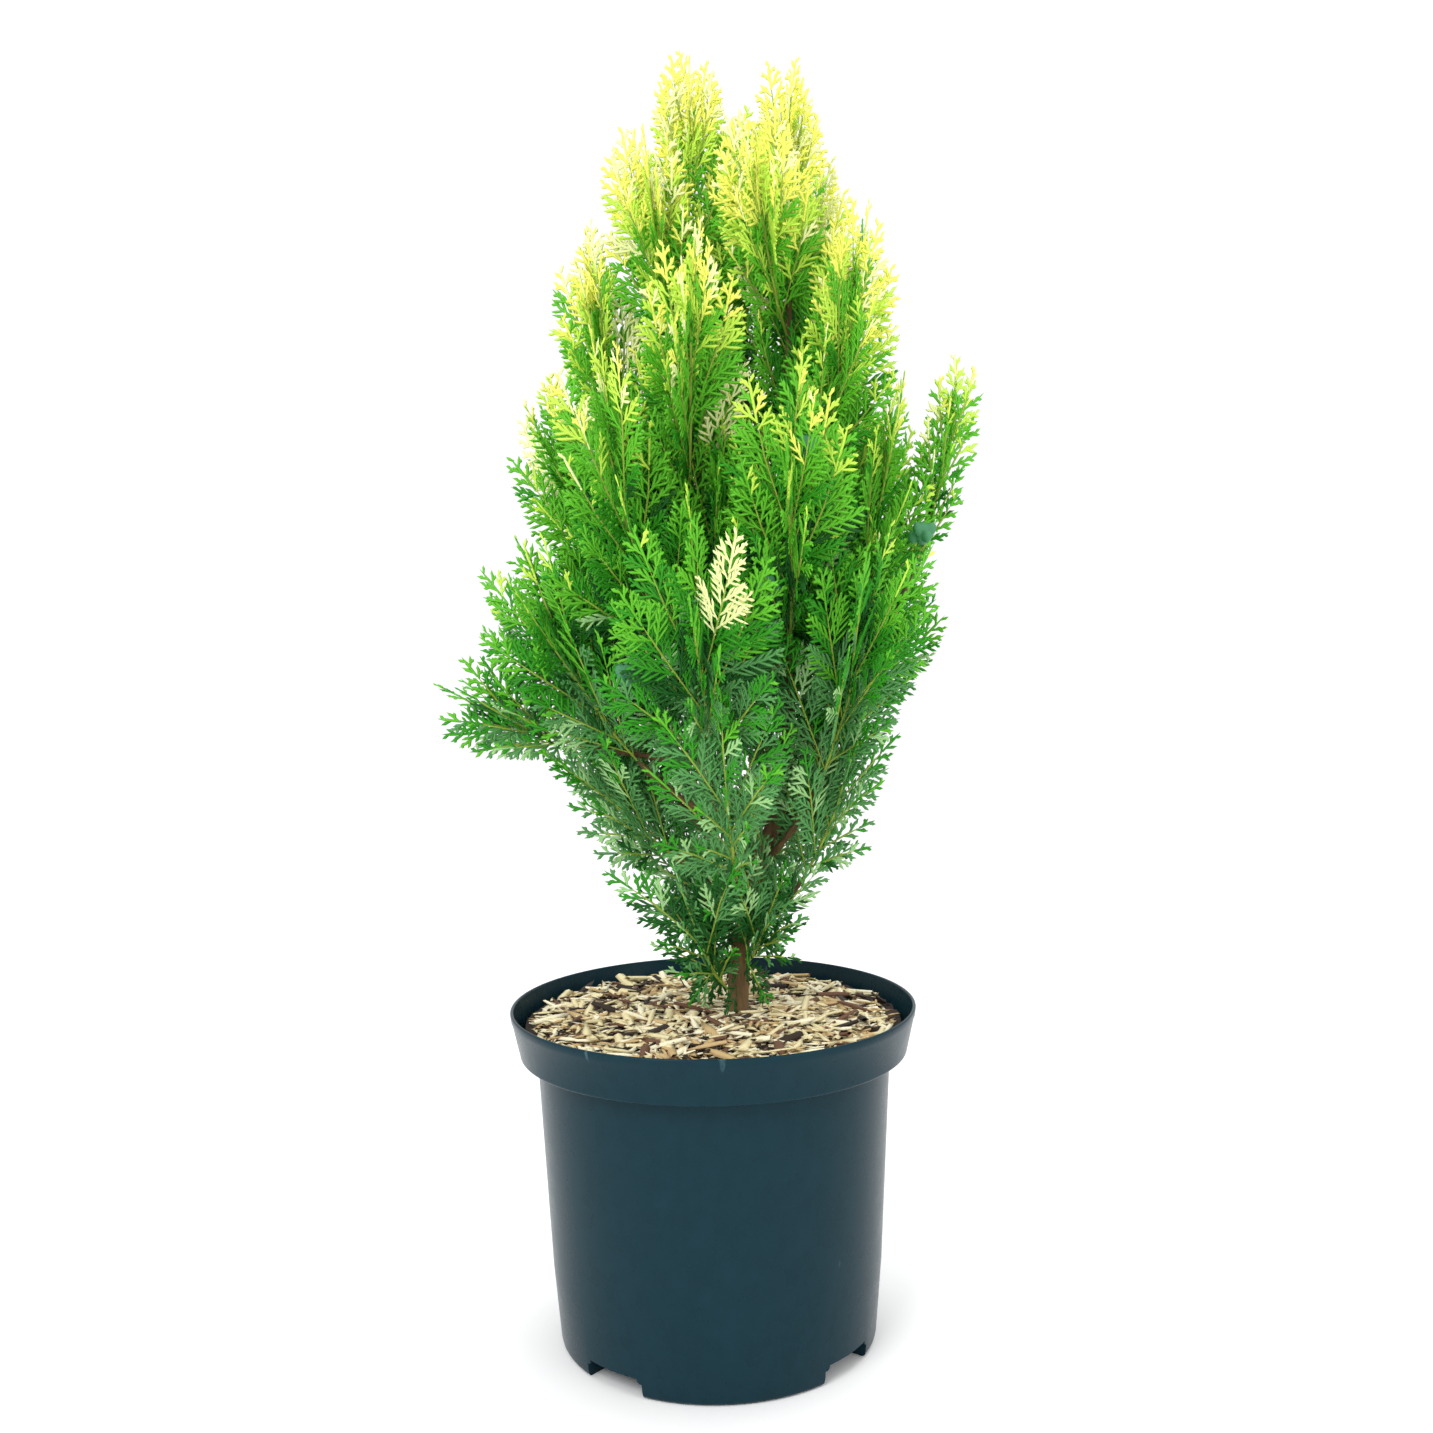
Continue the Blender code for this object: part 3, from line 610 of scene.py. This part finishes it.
class Shoot:
    """One bough, or none, and the mass of foliage that goes on from it."""

    def __init__(self, name, line, bough_share, sprays, spray_length, tier):
        self.name = name
        self.line = line
        self.length = line_length(line)
        self.bough_end = self.length * bough_share
        self.sprays = sprays
        self.spray_length = spray_length
        self.tier = tier

    def stem_start(self):
        return self.bough_end + GAP if self.bough_end else 0.0

    def stem(self):
        end = self.length - self.spray_length * 0.85
        points = stretch(self.line, self.stem_start(), end, STEM_RINGS)
        return Limb(f"foliage_{self.name}", points, STEM_RADII)


def nearest_limb(limbs, tip, height):
    """The limb beside the tip, out of those that pass the height where the shoot starts."""
    able = [limb for limb in limbs if limb.line[0].z < height < limb.line[-1].z]
    return min(able, key=lambda limb: (limb.at_height(height)[0] - tip).to_2d().length)


def clear_shoot(limbs, shoots, bearing, z, height, values):
    """The first shoot near a bearing that keeps clear of the shoots already there."""
    name, share, sprays, length, tier = values
    thickness = BOUGH_RADII[0] if share else STEM_RADII[0]
    tries = [(lift, turn) for lift in LIFTS_TRIED for turn in TURNS_TRIED]
    for lift, turn in tries:
        tip = crown_tip(bearing + math.radians(turn), z, INNER_SHARE if tier == "inner" else 1)
        limb = nearest_limb(limbs, tip, height + lift)
        line = sweep(leave(limb, height + lift, tip, thickness), tip)
        others = [other.line for other in limbs if other is not limb]
        others += [shoot.line for shoot in shoots]
        clear = all(line_gap(line, other) > SHOOT_ROOM for other in others)
        if clear and leaves_cleanly(line, limb):
            return Shoot(name, line, share, sprays, length, tier)
    raise ValueError(f"no room for {name}")


def make_shoots(limbs):
    """The limbs' tops, then the two boughs that stand off the crown, then its tiers."""
    rng = random.Random(SEED)
    shoots = []
    for limb in limbs:
        start = limb.line[-1]
        along = (limb.line[-1] - limb.line[-2]).normalized()
        line = sweep(start + along * GAP, Vector(TOP_TIPS[limb.name]))
        shoots.append(Shoot(f"{limb.name}_top", line, 0, *TOP_SPRAYS, "top"))
    for name, (tip, height, share, sprays, length) in STRAYS.items():
        tip = Vector(tip)
        limb = nearest_limb(limbs, tip, height)
        line = sweep(leave(limb, height, tip, BOUGH_RADII[0]), tip)
        shoots.append(Shoot(name, line, share, sprays, length, "stray"))
    for tier, (count, first, top, drop, share, sprays, length) in TIERS.items():
        for i in range(count):
            bearing = math.radians(first + 360 * i / count + rng.uniform(-1, 1) * TIER_JITTER[0])
            z = top + rng.uniform(-1, 1) * TIER_JITTER[1]
            height = z - drop + START_SPREAD * ((i * 0.618) % 1 - 0.5)
            values = (f"{tier}_{i + 1}", share, sprays, length, tier)
            shoots.append(clear_shoot(limbs, shoots, bearing, z, height, values))
    return shoots


limbs = make_limbs()
shoots = make_shoots(limbs)
limb_names = [limb.name for limb in limbs] + [name for name in nodes if name.startswith("bough")]


# Strips are about 2 mm wide and 14 mm long, and the plates between them 6 by 22 mm.
STRIPS_PER_METRE = (520, 520, 70)
PLATES_PER_METRE = (160, 160, 45)
STRIP_RELIEF = 0.00060
PLATE_RELIEF = 0.00080


def bark_mesh(name):
    """The limb's own faces made fine, rounded, and raised in strips that run up it."""
    shape = bmesh.new()
    shape.from_mesh(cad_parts[name].data)
    bmesh.ops.remove_doubles(shape, verts=shape.verts, dist=1e-6)
    bmesh.ops.subdivide_edges(shape, edges=shape.edges, cuts=5, use_grid_fill=True)
    for _ in range(4):
        bmesh.ops.smooth_vert(
            shape, verts=shape.verts, factor=0.5, use_axis_x=True, use_axis_y=True, use_axis_z=True
        )
    shape.normal_update()
    ground = min(vert.co.z for vert in shape.verts)
    for vert in shape.verts:
        strip = vert.co * Vector(STRIPS_PER_METRE)
        plate = vert.co * Vector(PLATES_PER_METRE)
        raised = STRIP_RELIEF * noise.noise(strip) + PLATE_RELIEF * noise.noise(plate)
        vert.co += vert.normal * raised
        vert.co.z = max(vert.co.z, ground)
    mesh = bpy.data.meshes.new(name)
    shape.to_mesh(mesh)
    shape.free()
    mesh.shade_smooth()
    return mesh


# Young conifer bark: dull, tan where it has just split and darker brown in its furrows, with
# a grain about 2.4 mm wide and 17 mm long.
bark, tree, shader = finish_material("stringy_bark", "6f5030", 0.85)
place = node(tree, "ShaderNodeTexCoord").outputs["Object"]
strips = node(tree, "ShaderNodeMapping", links={"Vector": place}, Scale=(420, 420, 60))
grain = node(tree, "ShaderNodeTexNoise", links={"Vector": strips.outputs[0]}, Scale=1.0, Detail=4.0)
tone = node(tree, "ShaderNodeMix", {"data_type": "RGBA"}, {"Factor": grain.outputs[0]})
tone.inputs["A"].default_value = colour("2a1c0e")
tone.inputs["B"].default_value = colour("86693f")
tree.links.new(tone.outputs["Result"], shader.inputs["Base Color"])
rough = node(
    tree, "ShaderNodeBump", links={"Height": grain.outputs[0]}, Strength=0.6, Distance=0.0005
)
tree.links.new(rough.outputs[0], shader.inputs["Normal"])
for name in limb_names:
    add_piece(f"{name}_bark", bark_mesh(name), bark, "bark", name)

# Foliage.
# Scale leaves clasp flat branchlets, which fork again and again in one plane to make fans held
# on edge. Each mass goes on from its bough, with fans set round its stem by the limb rule.
# Fans dealt darker greens as painted shade close the crown round the leaders, and short ones hang about
# the trunk's foot.
SIDE_SHOOT_SPACING = 0.0047
BRANCHLET_SPACING = 0.0029
# Branchlets are drawn 2 mm wide, where most real ones are 1 to 1.5 mm, so that fewer are needed.
BRANCHLET_HALF = (0.00100, 0.00055)
TWIG_HALF = (0.0007, 0.0007)
STEM_HALF = (0.0011, 0.0011)
LONGEST_BRANCHLET = 0.0125
SIDE_ANGLES = (36, 50)
BRANCHLET_ANGLES = (32, 44)
# Parts of a fan as shares of its length: its bare twig, its longest side shoots, and where its
# end shoot starts and how much of the curl it has there.
TWIG_SHARE = 0.8
SIDE_SHARE = 0.45
END_FROM = 0.72
END_RISE = 0.52
# The longest branchlets as a share of their side shoot, and how far each of the two arches as a
# share of its own length.
BRANCHLET_SHARE = 0.62
SIDE_ARCH = 0.18
BRANCHLET_ARCH = 0.16
# How much lengths vary, and how far side shoots leave the plane of their fan.
SIDE_SPREAD = (0.82, 1.12)
BRANCHLET_SPREAD = (0.75, 1.1)
OUT_OF_PLANE = 0.12
# A fan's face is turned towards the level by this, so that the fan stands on edge.
EDGEWISE = (1, 1, 0.4)
# By height: how far a fan turns up, and how far its middle shoot curls up, or down if below 0.
UPTURN = ((0.30, 0.0), (0.45, 0.25), (0.62, 0.45), (0.80, 0.30))
CURL = ((0.26, -0.12), (0.36, -0.04), (0.46, 0.12), (0.80, 0.16))
# By height: how far out from the crown's middle line the tip of a fan may reach.
OUTLINE = (
    (0.22, 0.040),
    (0.28, 0.052),
    (0.31, 0.084),
    (0.36, 0.102),
    (0.40, 0.122),
    (0.46, 0.154),
    (0.60, 0.142),
    (0.70, 0.116),
    (0.76, 0.084),
    (0.80, 0.052),
)
# A mass has two fans for each blade of its solid and six more. They start further up a stem
# that stands on a leader than one that goes on from a bough.
EXTRA_FANS = 6
FIRST_FAN = 0.16
FIRST_FAN_ON_BOUGH = 0.05
LAST_FAN = 0.985
SPRAY_PITCH = (40, 24)
GOLDEN_ANGLE = math.radians(137.5)
TURN_JITTER = 0.2
# How much longer a tier's fans are than its solid's blades, and how much lengths vary.
SPRAY_GROWTH = {"skirt": 1.20, "belly": 1.14, "mid": 1.06, "shoulder": 1.06, "upper": 1.06}
FAN_SPREAD = (0.84, 1.04)
END_FAN_SHARE = 0.94
STEM_OVERLAP = 1.9
LEADER_FANS_FROM = 0.330
FORK_ROOM = 0.02
LEADER_FAN_SPACING = 0.009
LEADER_FAN_LENGTH = 0.078
LEADER_FAN_SPREAD = (0.8, 1.1)
LEADER_FAN_PITCH = math.radians(50)
# The leaders' fans stand deep in the crown, and this painted shade deals them darker greens.
LEADER_FAN_SHADE = -0.25
# The lowest of the foot's fans hangs, and each next one is held 4 degrees higher.
FOOT_FAN_COUNT = 26
FOOT_FANS_FROM = 0.238
FOOT_FAN_SPACING = 0.0036
FOOT_FAN_LENGTH = 0.058
FOOT_FAN_PITCH = (142, -4)
FOOT_FAN_BEARING = 4.4
# The foot's fans get as little painted shade as those at the end of a stem.
FOOT_FAN_SHADE = 0.1
MOST_TRIANGLES = 180000
SLIVER_TRIANGLES = 12
FOLIAGE_FINISHES = {
    "gold": ("eef06c", "gold_foliage"),
    "cream": ("eff3ae", "gold_foliage"),
    "lime": ("c2e652", "gold_foliage"),
    "fresh": ("60b628", "green_foliage"),
    "leaf": ("329119", "green_foliage"),
    # A dark green, partly painted shade for sprays deep in the crown.
    "deep": ("195a1b", "deep_foliage"),
    "glaucous": ("559450", "blue_foliage"),
    # A pale bluish green: partly bloom, partly a painted highlight.
    "powdery": ("9bcb84", "blue_foliage"),
}
STEM_COLOUR = "8fa83e"
# The warmth of a side shoot decides its colour. It is 0 at one height and 1 a span above it, and it
# rises towards the tip of the fan and the face of the crown. Its rise towards the crown's face and the
# shade given to each fan are painted light and shade: sprays deep in the crown are dealt darker greens.
COOL_HEIGHT = 0.475
WARM_SPAN = 0.235
FAN_WARMTH = 0.75
FACE_WARMTH_AND_LIGHT = 0.3
WARMTH_JITTER = 0.20
GOLD_FROM = 0.95
LIME_FROM = 0.68
FRESH_FROM = 0.12
LEAF_FROM = -0.22
# The coolest side shoots are bluish round one height, and a deep green above and below it. Sprays deep
# in the crown are among the coolest, so the deep green is partly painted shade.
BLUE_HEIGHT = 0.36
BLUE_SPAN = 0.13
BLUE_JITTER = 0.30
BLUE_FROM = 0.35
# The share of fans above a height that are cream, but for their foot.
PALE_SHARE = 0.07
PALE_HEIGHT = 0.42
PALE_FROM = 0.3
dealt = {name: [] for name in FOLIAGE_FINISHES}
twigs = []


def unit(vector):
    """The same direction at a length of one."""
    return vector / np.linalg.norm(vector)


def spray_colour(place, outer, shade, rng):
    """Deals a colour to a side shoot by its height, by how far out it is in fan and crown, and by the
    painted shade of its fan.
    """
    z = place[2]
    spread = math.hypot(place[0] - between(MIDDLE_LINE, z), place[1]) / between(REACH, z)
    warmth_and_light = (z - COOL_HEIGHT) / WARM_SPAN + FAN_WARMTH * (outer - 0.5)
    warmth_and_light += FACE_WARMTH_AND_LIGHT * (min(spread, 1.3) - 0.8)
    # The fan's shade is painted shade, which makes sprays deep in the crown darker.
    warmth_and_light += shade + rng.normal(0, WARMTH_JITTER)
    if warmth_and_light > GOLD_FROM:
        return "cream" if rng.random() < 0.3 else "gold"
    if warmth_and_light > LIME_FROM:
        return "lime"
    if warmth_and_light > FRESH_FROM:
        return "fresh"
    if warmth_and_light > LEAF_FROM:
        return "leaf"
    cool = 1 - abs(z - BLUE_HEIGHT) / BLUE_SPAN + rng.normal(0, BLUE_JITTER)
    if cool > BLUE_FROM:
        # The pale bluish green, dealt towards a fan's tip, is partly bloom and partly a painted
        # highlight.
        return "powdery" if outer > 0.35 and rng.random() < 0.4 else "glaucous"
    return "leaf" if outer > 0.55 and rng.random() < 0.5 else "deep"


def sliver(rows, root, along, flat, length, half, bend):
    """Notes one twig or branchlet: its foot, direction, face, length, half sizes and bend."""
    rows.append((*root, *along, *flat, length, *half, bend))


def trim(root, forward, length):
    """Shortens a fan whose tip would pass the crown's outline, to no less than half."""
    for share in np.arange(1.0, 0.5, -0.05):
        tip = root + forward * length * share
        if math.hypot(tip[0] - between(MIDDLE_LINE, tip[2]), tip[1]) < between(OUTLINE, tip[2]):
            break
    return length * share


def grow_side_shoot(rows, start, shoot, plane, reach, hand, rng):
    """A side shoot that arches towards the fan's tip, with branchlets on both sides of it."""
    outward = np.cross(plane, shoot)
    arch = -hand * reach * SIDE_ARCH
    sliver(rows, start, shoot, plane, reach, BRANCHLET_HALF, arch)
    for i in range(1, max(int(reach / BRANCHLET_SPACING), 1)):
        share = i * BRANCHLET_SPACING / reach
        left = 1 if i % 2 else -1
        turn = math.radians(rng.uniform(*BRANCHLET_ANGLES))
        along = unit(shoot * math.cos(turn) + outward * left * math.sin(turn))
        foot = start + shoot * reach * share + outward * arch * share * share
        length = min(LONGEST_BRANCHLET, reach * BRANCHLET_SHARE * (1.06 - share))
        length *= rng.uniform(*BRANCHLET_SPREAD)
        sliver(rows, foot, along, plane, length, BRANCHLET_HALF, -left * length * BRANCHLET_ARCH)


def grow_fan(root, along, side, pitch, length, shade, rng, trimmed=True):
    """A fan held on edge: a middle shoot, with side shoots on it left and right by turns."""
    forward = along * math.cos(pitch) + side * math.sin(pitch)
    forward = unit(forward + np.array((0, 0, between(UPTURN, root[2]))))
    if trimmed:
        length = trim(root, forward, length)
    flat = np.cross(along, side) * EDGEWISE
    flat = unit(flat - forward * flat.dot(forward))
    if np.cross(flat, forward)[2] < 0:
        flat = -flat
    lift = np.cross(flat, forward)
    curl = between(CURL, root[2]) * length
    pale = root[2] > PALE_HEIGHT and rng.random() < PALE_SHARE
    sliver(twigs, root, forward, flat, length * TWIG_SHARE, TWIG_HALF, curl * TWIG_SHARE**2)
    count = int(length / SIDE_SHOOT_SPACING)
    for i in range(1, count + 1):
        share = i / (count + 1)
        start = root + forward * length * share + lift * curl * share * share
        heading = unit(forward + lift * 2 * curl / length * share)
        hand = 1 if i % 2 else -1
        across = np.cross(flat, heading) * hand
        angle = math.radians(rng.uniform(*SIDE_ANGLES))
        shoot = heading * math.cos(angle) + across * math.sin(angle)
        shoot = unit(shoot + flat * rng.normal(0, OUT_OF_PLANE))
        # Side shoots are longest a quarter of the way up the fan.
        taper = (1.02 - share) ** 0.75 * min(1, 0.35 + share * 2.6)
        reach = length * SIDE_SHARE * taper * rng.uniform(*SIDE_SPREAD)
        name = spray_colour(start + shoot * reach, share, shade, rng)
        if pale and share > PALE_FROM:
            name = "cream"
        plane = unit(flat - shoot * flat.dot(shoot))
        grow_side_shoot(dealt[name], start, shoot, plane, reach, hand, rng)
    end = root + forward * length * END_FROM + lift * curl * END_RISE
    heading = unit(forward + lift * 2 * END_FROM * curl / length)
    sliver(dealt[name], end, heading, flat, length * (1 - END_FROM), BRANCHLET_HALF, 0.0)


for shoot in shoots:
    # Each mass has a seed of its own, from the letters of its name.
    rng = np.random.default_rng(sum(map(ord, shoot.name)) * 7 + 3)
    stem = shoot.stem()
    # Each straight piece of the stem runs on past the next, so that it tapers without a gap.
    for low, high in zip(stem.line, stem.line[1:]):
        heading = np.array((high - low).normalized())
        flat = unit(np.cross(heading, (0.3, 0.9, 0.1)))
        length = (high - low).length * STEM_OVERLAP
        sliver(twigs, np.array(low), heading, flat, length, STEM_HALF, 0.0)
    fans = shoot.sprays * 2 + EXTRA_FANS
    first = stem.length * (FIRST_FAN_ON_BOUGH if shoot.bough_end else FIRST_FAN)
    for i in range(fans):
        share = i / (fans - 1)
        distance = first + (stem.length * LAST_FAN - first) * share
        back, ahead = stretch(stem.line, max(distance - 0.004, 0), distance, 2)
        along = (ahead - back).normalized()
        side = along.orthogonal().normalized()
        turn = i * GOLDEN_ANGLE + rng.normal(0, TURN_JITTER)
        side.rotate(Matrix.Rotation(turn, 3, along))
        pitch = math.radians(SPRAY_PITCH[0] + (SPRAY_PITCH[1] - SPRAY_PITCH[0]) * share)
        growth = SPRAY_GROWTH.get(shoot.tier, 1.0)
        length = shoot.spray_length * growth * rng.uniform(*FAN_SPREAD)
        if i == fans - 1:
            pitch = 0.0
            length = shoot.spray_length * END_FAN_SHARE
        # Painted shade: fans low on the stem, deep in the crown, are dealt darker greens, and those
        # near its end lighter ones.
        shade = 0.25 * (share - 0.6)
        within = shoot.tier != "stray"
        grow_fan(np.array(ahead), np.array(along), np.array(side), pitch, length, shade, rng, within)

rng = np.random.default_rng(SEED)
upright = np.array((0.0, 0.0, 1.0))
for limb in limbs:
    lowest = max(LEADER_FANS_FROM, limb.line[0].z + FORK_ROOM)
    for i, height in enumerate(np.arange(lowest, limb.line[-1].z, LEADER_FAN_SPACING)):
        turn = i * GOLDEN_ANGLE + rng.normal(0, TURN_JITTER)
        side = np.array((math.cos(turn), math.sin(turn), 0.0))
        root = np.array(limb.at_height(height)[0])
        length = LEADER_FAN_LENGTH * rng.uniform(*LEADER_FAN_SPREAD)
        grow_fan(root, upright, side, LEADER_FAN_PITCH, length, LEADER_FAN_SHADE, rng)
for i in range(FOOT_FAN_COUNT):
    turn = i * GOLDEN_ANGLE + FOOT_FAN_BEARING
    side = np.array((math.cos(turn), math.sin(turn), 0.0))
    root = np.array(limbs[0].at_height(FOOT_FANS_FROM + i * FOOT_FAN_SPACING)[0])
    pitch = math.radians(FOOT_FAN_PITCH[0] + FOOT_FAN_PITCH[1] * i)
    grow_fan(root, upright, side, pitch, FOOT_FAN_LENGTH, FOOT_FAN_SHADE, rng)

# Scale leaves under a thin wax: a satin surface in one plain colour to each spray, from gold at the
# crown's sunny tips, through fresh green, to a bluish green low down in the shade. The darker greens
# deep in the crown are partly painted shade, and the palest bluish green is partly a painted highlight.
BOX_ROOM = 0.001
foliage_nodes = [name for name in nodes if name.startswith("foliage")]
low_corner = np.array(cad_box[0]) + BOX_ROOM
high_corner = np.array(cad_box[1]) - BOX_ROOM
groups = [(name, *FOLIAGE_FINISHES[name], dealt[name]) for name in FOLIAGE_FINISHES]
groups.append(("young_twig", STEM_COLOUR, "green_foliage", twigs))
for name, hex_value, slot, rows in groups:
    rows = np.array(rows)
    # A twig or branchlet whose tip would leave the object's box, or go into the chips or through
    # the pot's wall, is left out.
    tips = rows[:, 0:3] + rows[:, 3:6] * rows[:, 9:10]
    tips += np.cross(rows[:, 6:9], rows[:, 3:6]) * rows[:, 12:13]
    inside = ((tips > low_corner) & (tips < high_corner)).all(axis=1)
    over_mulch = np.hypot(tips[:, 0], tips[:, 1]) < MULCH_REACH - 0.004
    over_mulch &= tips[:, 2] > MULCH_LEVEL + 0.002
    rows = rows[inside & (over_mulch | (tips[:, 2] > POT_HEIGHT + 0.001))]
    leaf = finish_material(f"waxy_scale_leaf_{name}", hex_value, 0.55, 1.45, Specular_IOR_Level=0.3)[0]
    per_piece = MOST_TRIANGLES // SLIVER_TRIANGLES
    for number, start in enumerate(range(0, len(rows), per_piece), 1):
        part = rows[start : start + per_piece]
        corners, faces = slivers(
            part[:, 0:3], part[:, 3:6], part[:, 6:9], *part[:, 9:13].T, foot=0.7, widest=0.66
        )
        mesh = mesh_from_arrays(f"{name}_{number}", corners, faces)
        add_piece(f"{name}_sprays_{number}", mesh, leaf, slot, *foliage_nodes)

# Seed cones.
# Fleshy green cones of six hooked scales, bluish with bloom, sit on short stalks on the fans.
CONE_PLACES = ((0.060, -0.086, 0.560), (0.036, -0.082, 0.480), (0.134, -0.030, 0.512))
HIDDEN_CONE_PLACES = ((-0.070, 0.060, 0.540), (0.050, 0.085, 0.500), (-0.045, -0.078, 0.430))
CONE_HALF = (0.0058, 0.0058, 0.0082)
CONE_BODY = 0.86
HORN_RISE = 0.70
HORN_EDGE = 0.84


def cone_mesh(place, turn):
    """An egg shape with six horns drawn out of it, by turns above and below its middle."""
    shape = bmesh.new()
    bmesh.ops.create_icosphere(shape, subdivisions=4, radius=1.0)
    bearings = [turn + i * math.pi / 3 for i in range(6)]
    horns = [
        Vector((math.cos(b), math.sin(b), 0.35 if i % 2 else -0.25)) for i, b in enumerate(bearings)
    ]
    for vert in shape.verts:
        horn = max(vert.co.dot(h.normalized()) for h in horns)
        swell = CONE_BODY + HORN_RISE * max(horn - HORN_EDGE, 0) / (1 - HORN_EDGE)
        vert.co = Vector(place) + Vector([c * swell * half for c, half in zip(vert.co, CONE_HALF)])
    mesh = bpy.data.meshes.new("cone")
    shape.to_mesh(mesh)
    shape.free()
    mesh.shade_smooth()
    return mesh


# Cone scales with a waxy bloom: dull, and a cooler and bluer green than the leaves round them.
# The bloom is a powder of about 0.05 mm, which dulls them and doesn't show as specks.
bloom, tree, shader = finish_material("bloomed_cone_scale", "3f8458", 0.6)
speck = node(tree, "ShaderNodeTexNoise", Scale=350.0, Detail=2.0)
powder = node(
    tree, "ShaderNodeBump", links={"Height": speck.outputs[0]}, Strength=0.3, Distance=0.0003
)
tree.links.new(powder.outputs[0], shader.inputs["Normal"])
for number, place in enumerate(CONE_PLACES + HIDDEN_CONE_PLACES, 1):
    add_piece(f"seed_cone_{number}", cone_mesh(place, number), bloom, "blue_foliage", *foliage_nodes)

# Floor, light and camera.
# A white paper sheet under soft daylight from large panels. It is seen from where the photograph
# was taken: about a metre in front, above the pot's rim, and level to a few degrees.
CAMERA_PLACE = Vector((0.0057, -0.9557, 0.4600))
PITCH = math.radians(3.6)
ROLL = math.radians(-1.06)
FOCAL_PIXELS = 1500
IMAGE_PIXELS = 1433
FLOOR_HALF = 6.0
DAYLIGHT = 1.05

floor_mesh = bpy.data.meshes.new("floor")
floor_corners = [(x * FLOOR_HALF, y * FLOOR_HALF, 0) for x, y in ((-1, -1), (1, -1), (1, 1), (-1, 1))]
floor_mesh.from_pydata(floor_corners, [], [(0, 1, 2, 3)])
floor = bpy.data.objects.new("floor", floor_mesh)
bpy.context.scene.collection.objects.link(floor)
floor.location.z = -0.0002
floor_mesh.materials.append(finish_material("white_paper", "fcfcfc", 0.9)[0])

world = bpy.data.worlds.new("daylight")
world.use_nodes = True
world.node_tree.nodes["Background"].inputs["Color"].default_value = (1, 1, 1, 1)
world.node_tree.nodes["Background"].inputs["Strength"].default_value = DAYLIGHT
bpy.context.scene.world = world

# Each panel's name, place, the point it faces, width and watts.
LIGHTS = (
    ("key_panel", (-0.9, -1.5, 1.7), (0, 0, 0.5), 1.0, 21),
    ("fill_panel", (1.3, -1.1, 0.9), (0, 0, 0.4), 0.7, 4),
    ("top_panel", (0.2, 0.3, 2.1), (0, 0, 0.5), 1.2, 12),
)
for name, where, target, size, power in LIGHTS:
    light = bpy.data.lights.new(name, "AREA")
    light.size = size
    light.energy = power
    lamp = bpy.data.objects.new(name, light)
    bpy.context.scene.collection.objects.link(lamp)
    lamp.location = where
    lamp.rotation_euler = (Vector(target) - Vector(where)).to_track_quat("-Z", "Y").to_euler()

forward = Vector((0, math.cos(PITCH), -math.sin(PITCH)))
level_up = Vector((0, math.sin(PITCH), math.cos(PITCH)))
right = Vector((1, 0, 0)) * math.cos(ROLL) + level_up * math.sin(ROLL)
up = level_up * math.cos(ROLL) - Vector((1, 0, 0)) * math.sin(ROLL)
view = bpy.data.cameras.new("view")
view.sensor_width = 36
view.lens = view.sensor_width * FOCAL_PIXELS / IMAGE_PIXELS
camera = bpy.data.objects.new("view", view)
bpy.context.scene.collection.objects.link(camera)
axes = Matrix((right, up, -forward)).transposed().to_4x4()
camera.matrix_world = Matrix.Translation(CAMERA_PLACE) @ axes
bpy.context.scene.camera = camera
bpy.context.scene.view_settings.view_transform = "Standard"
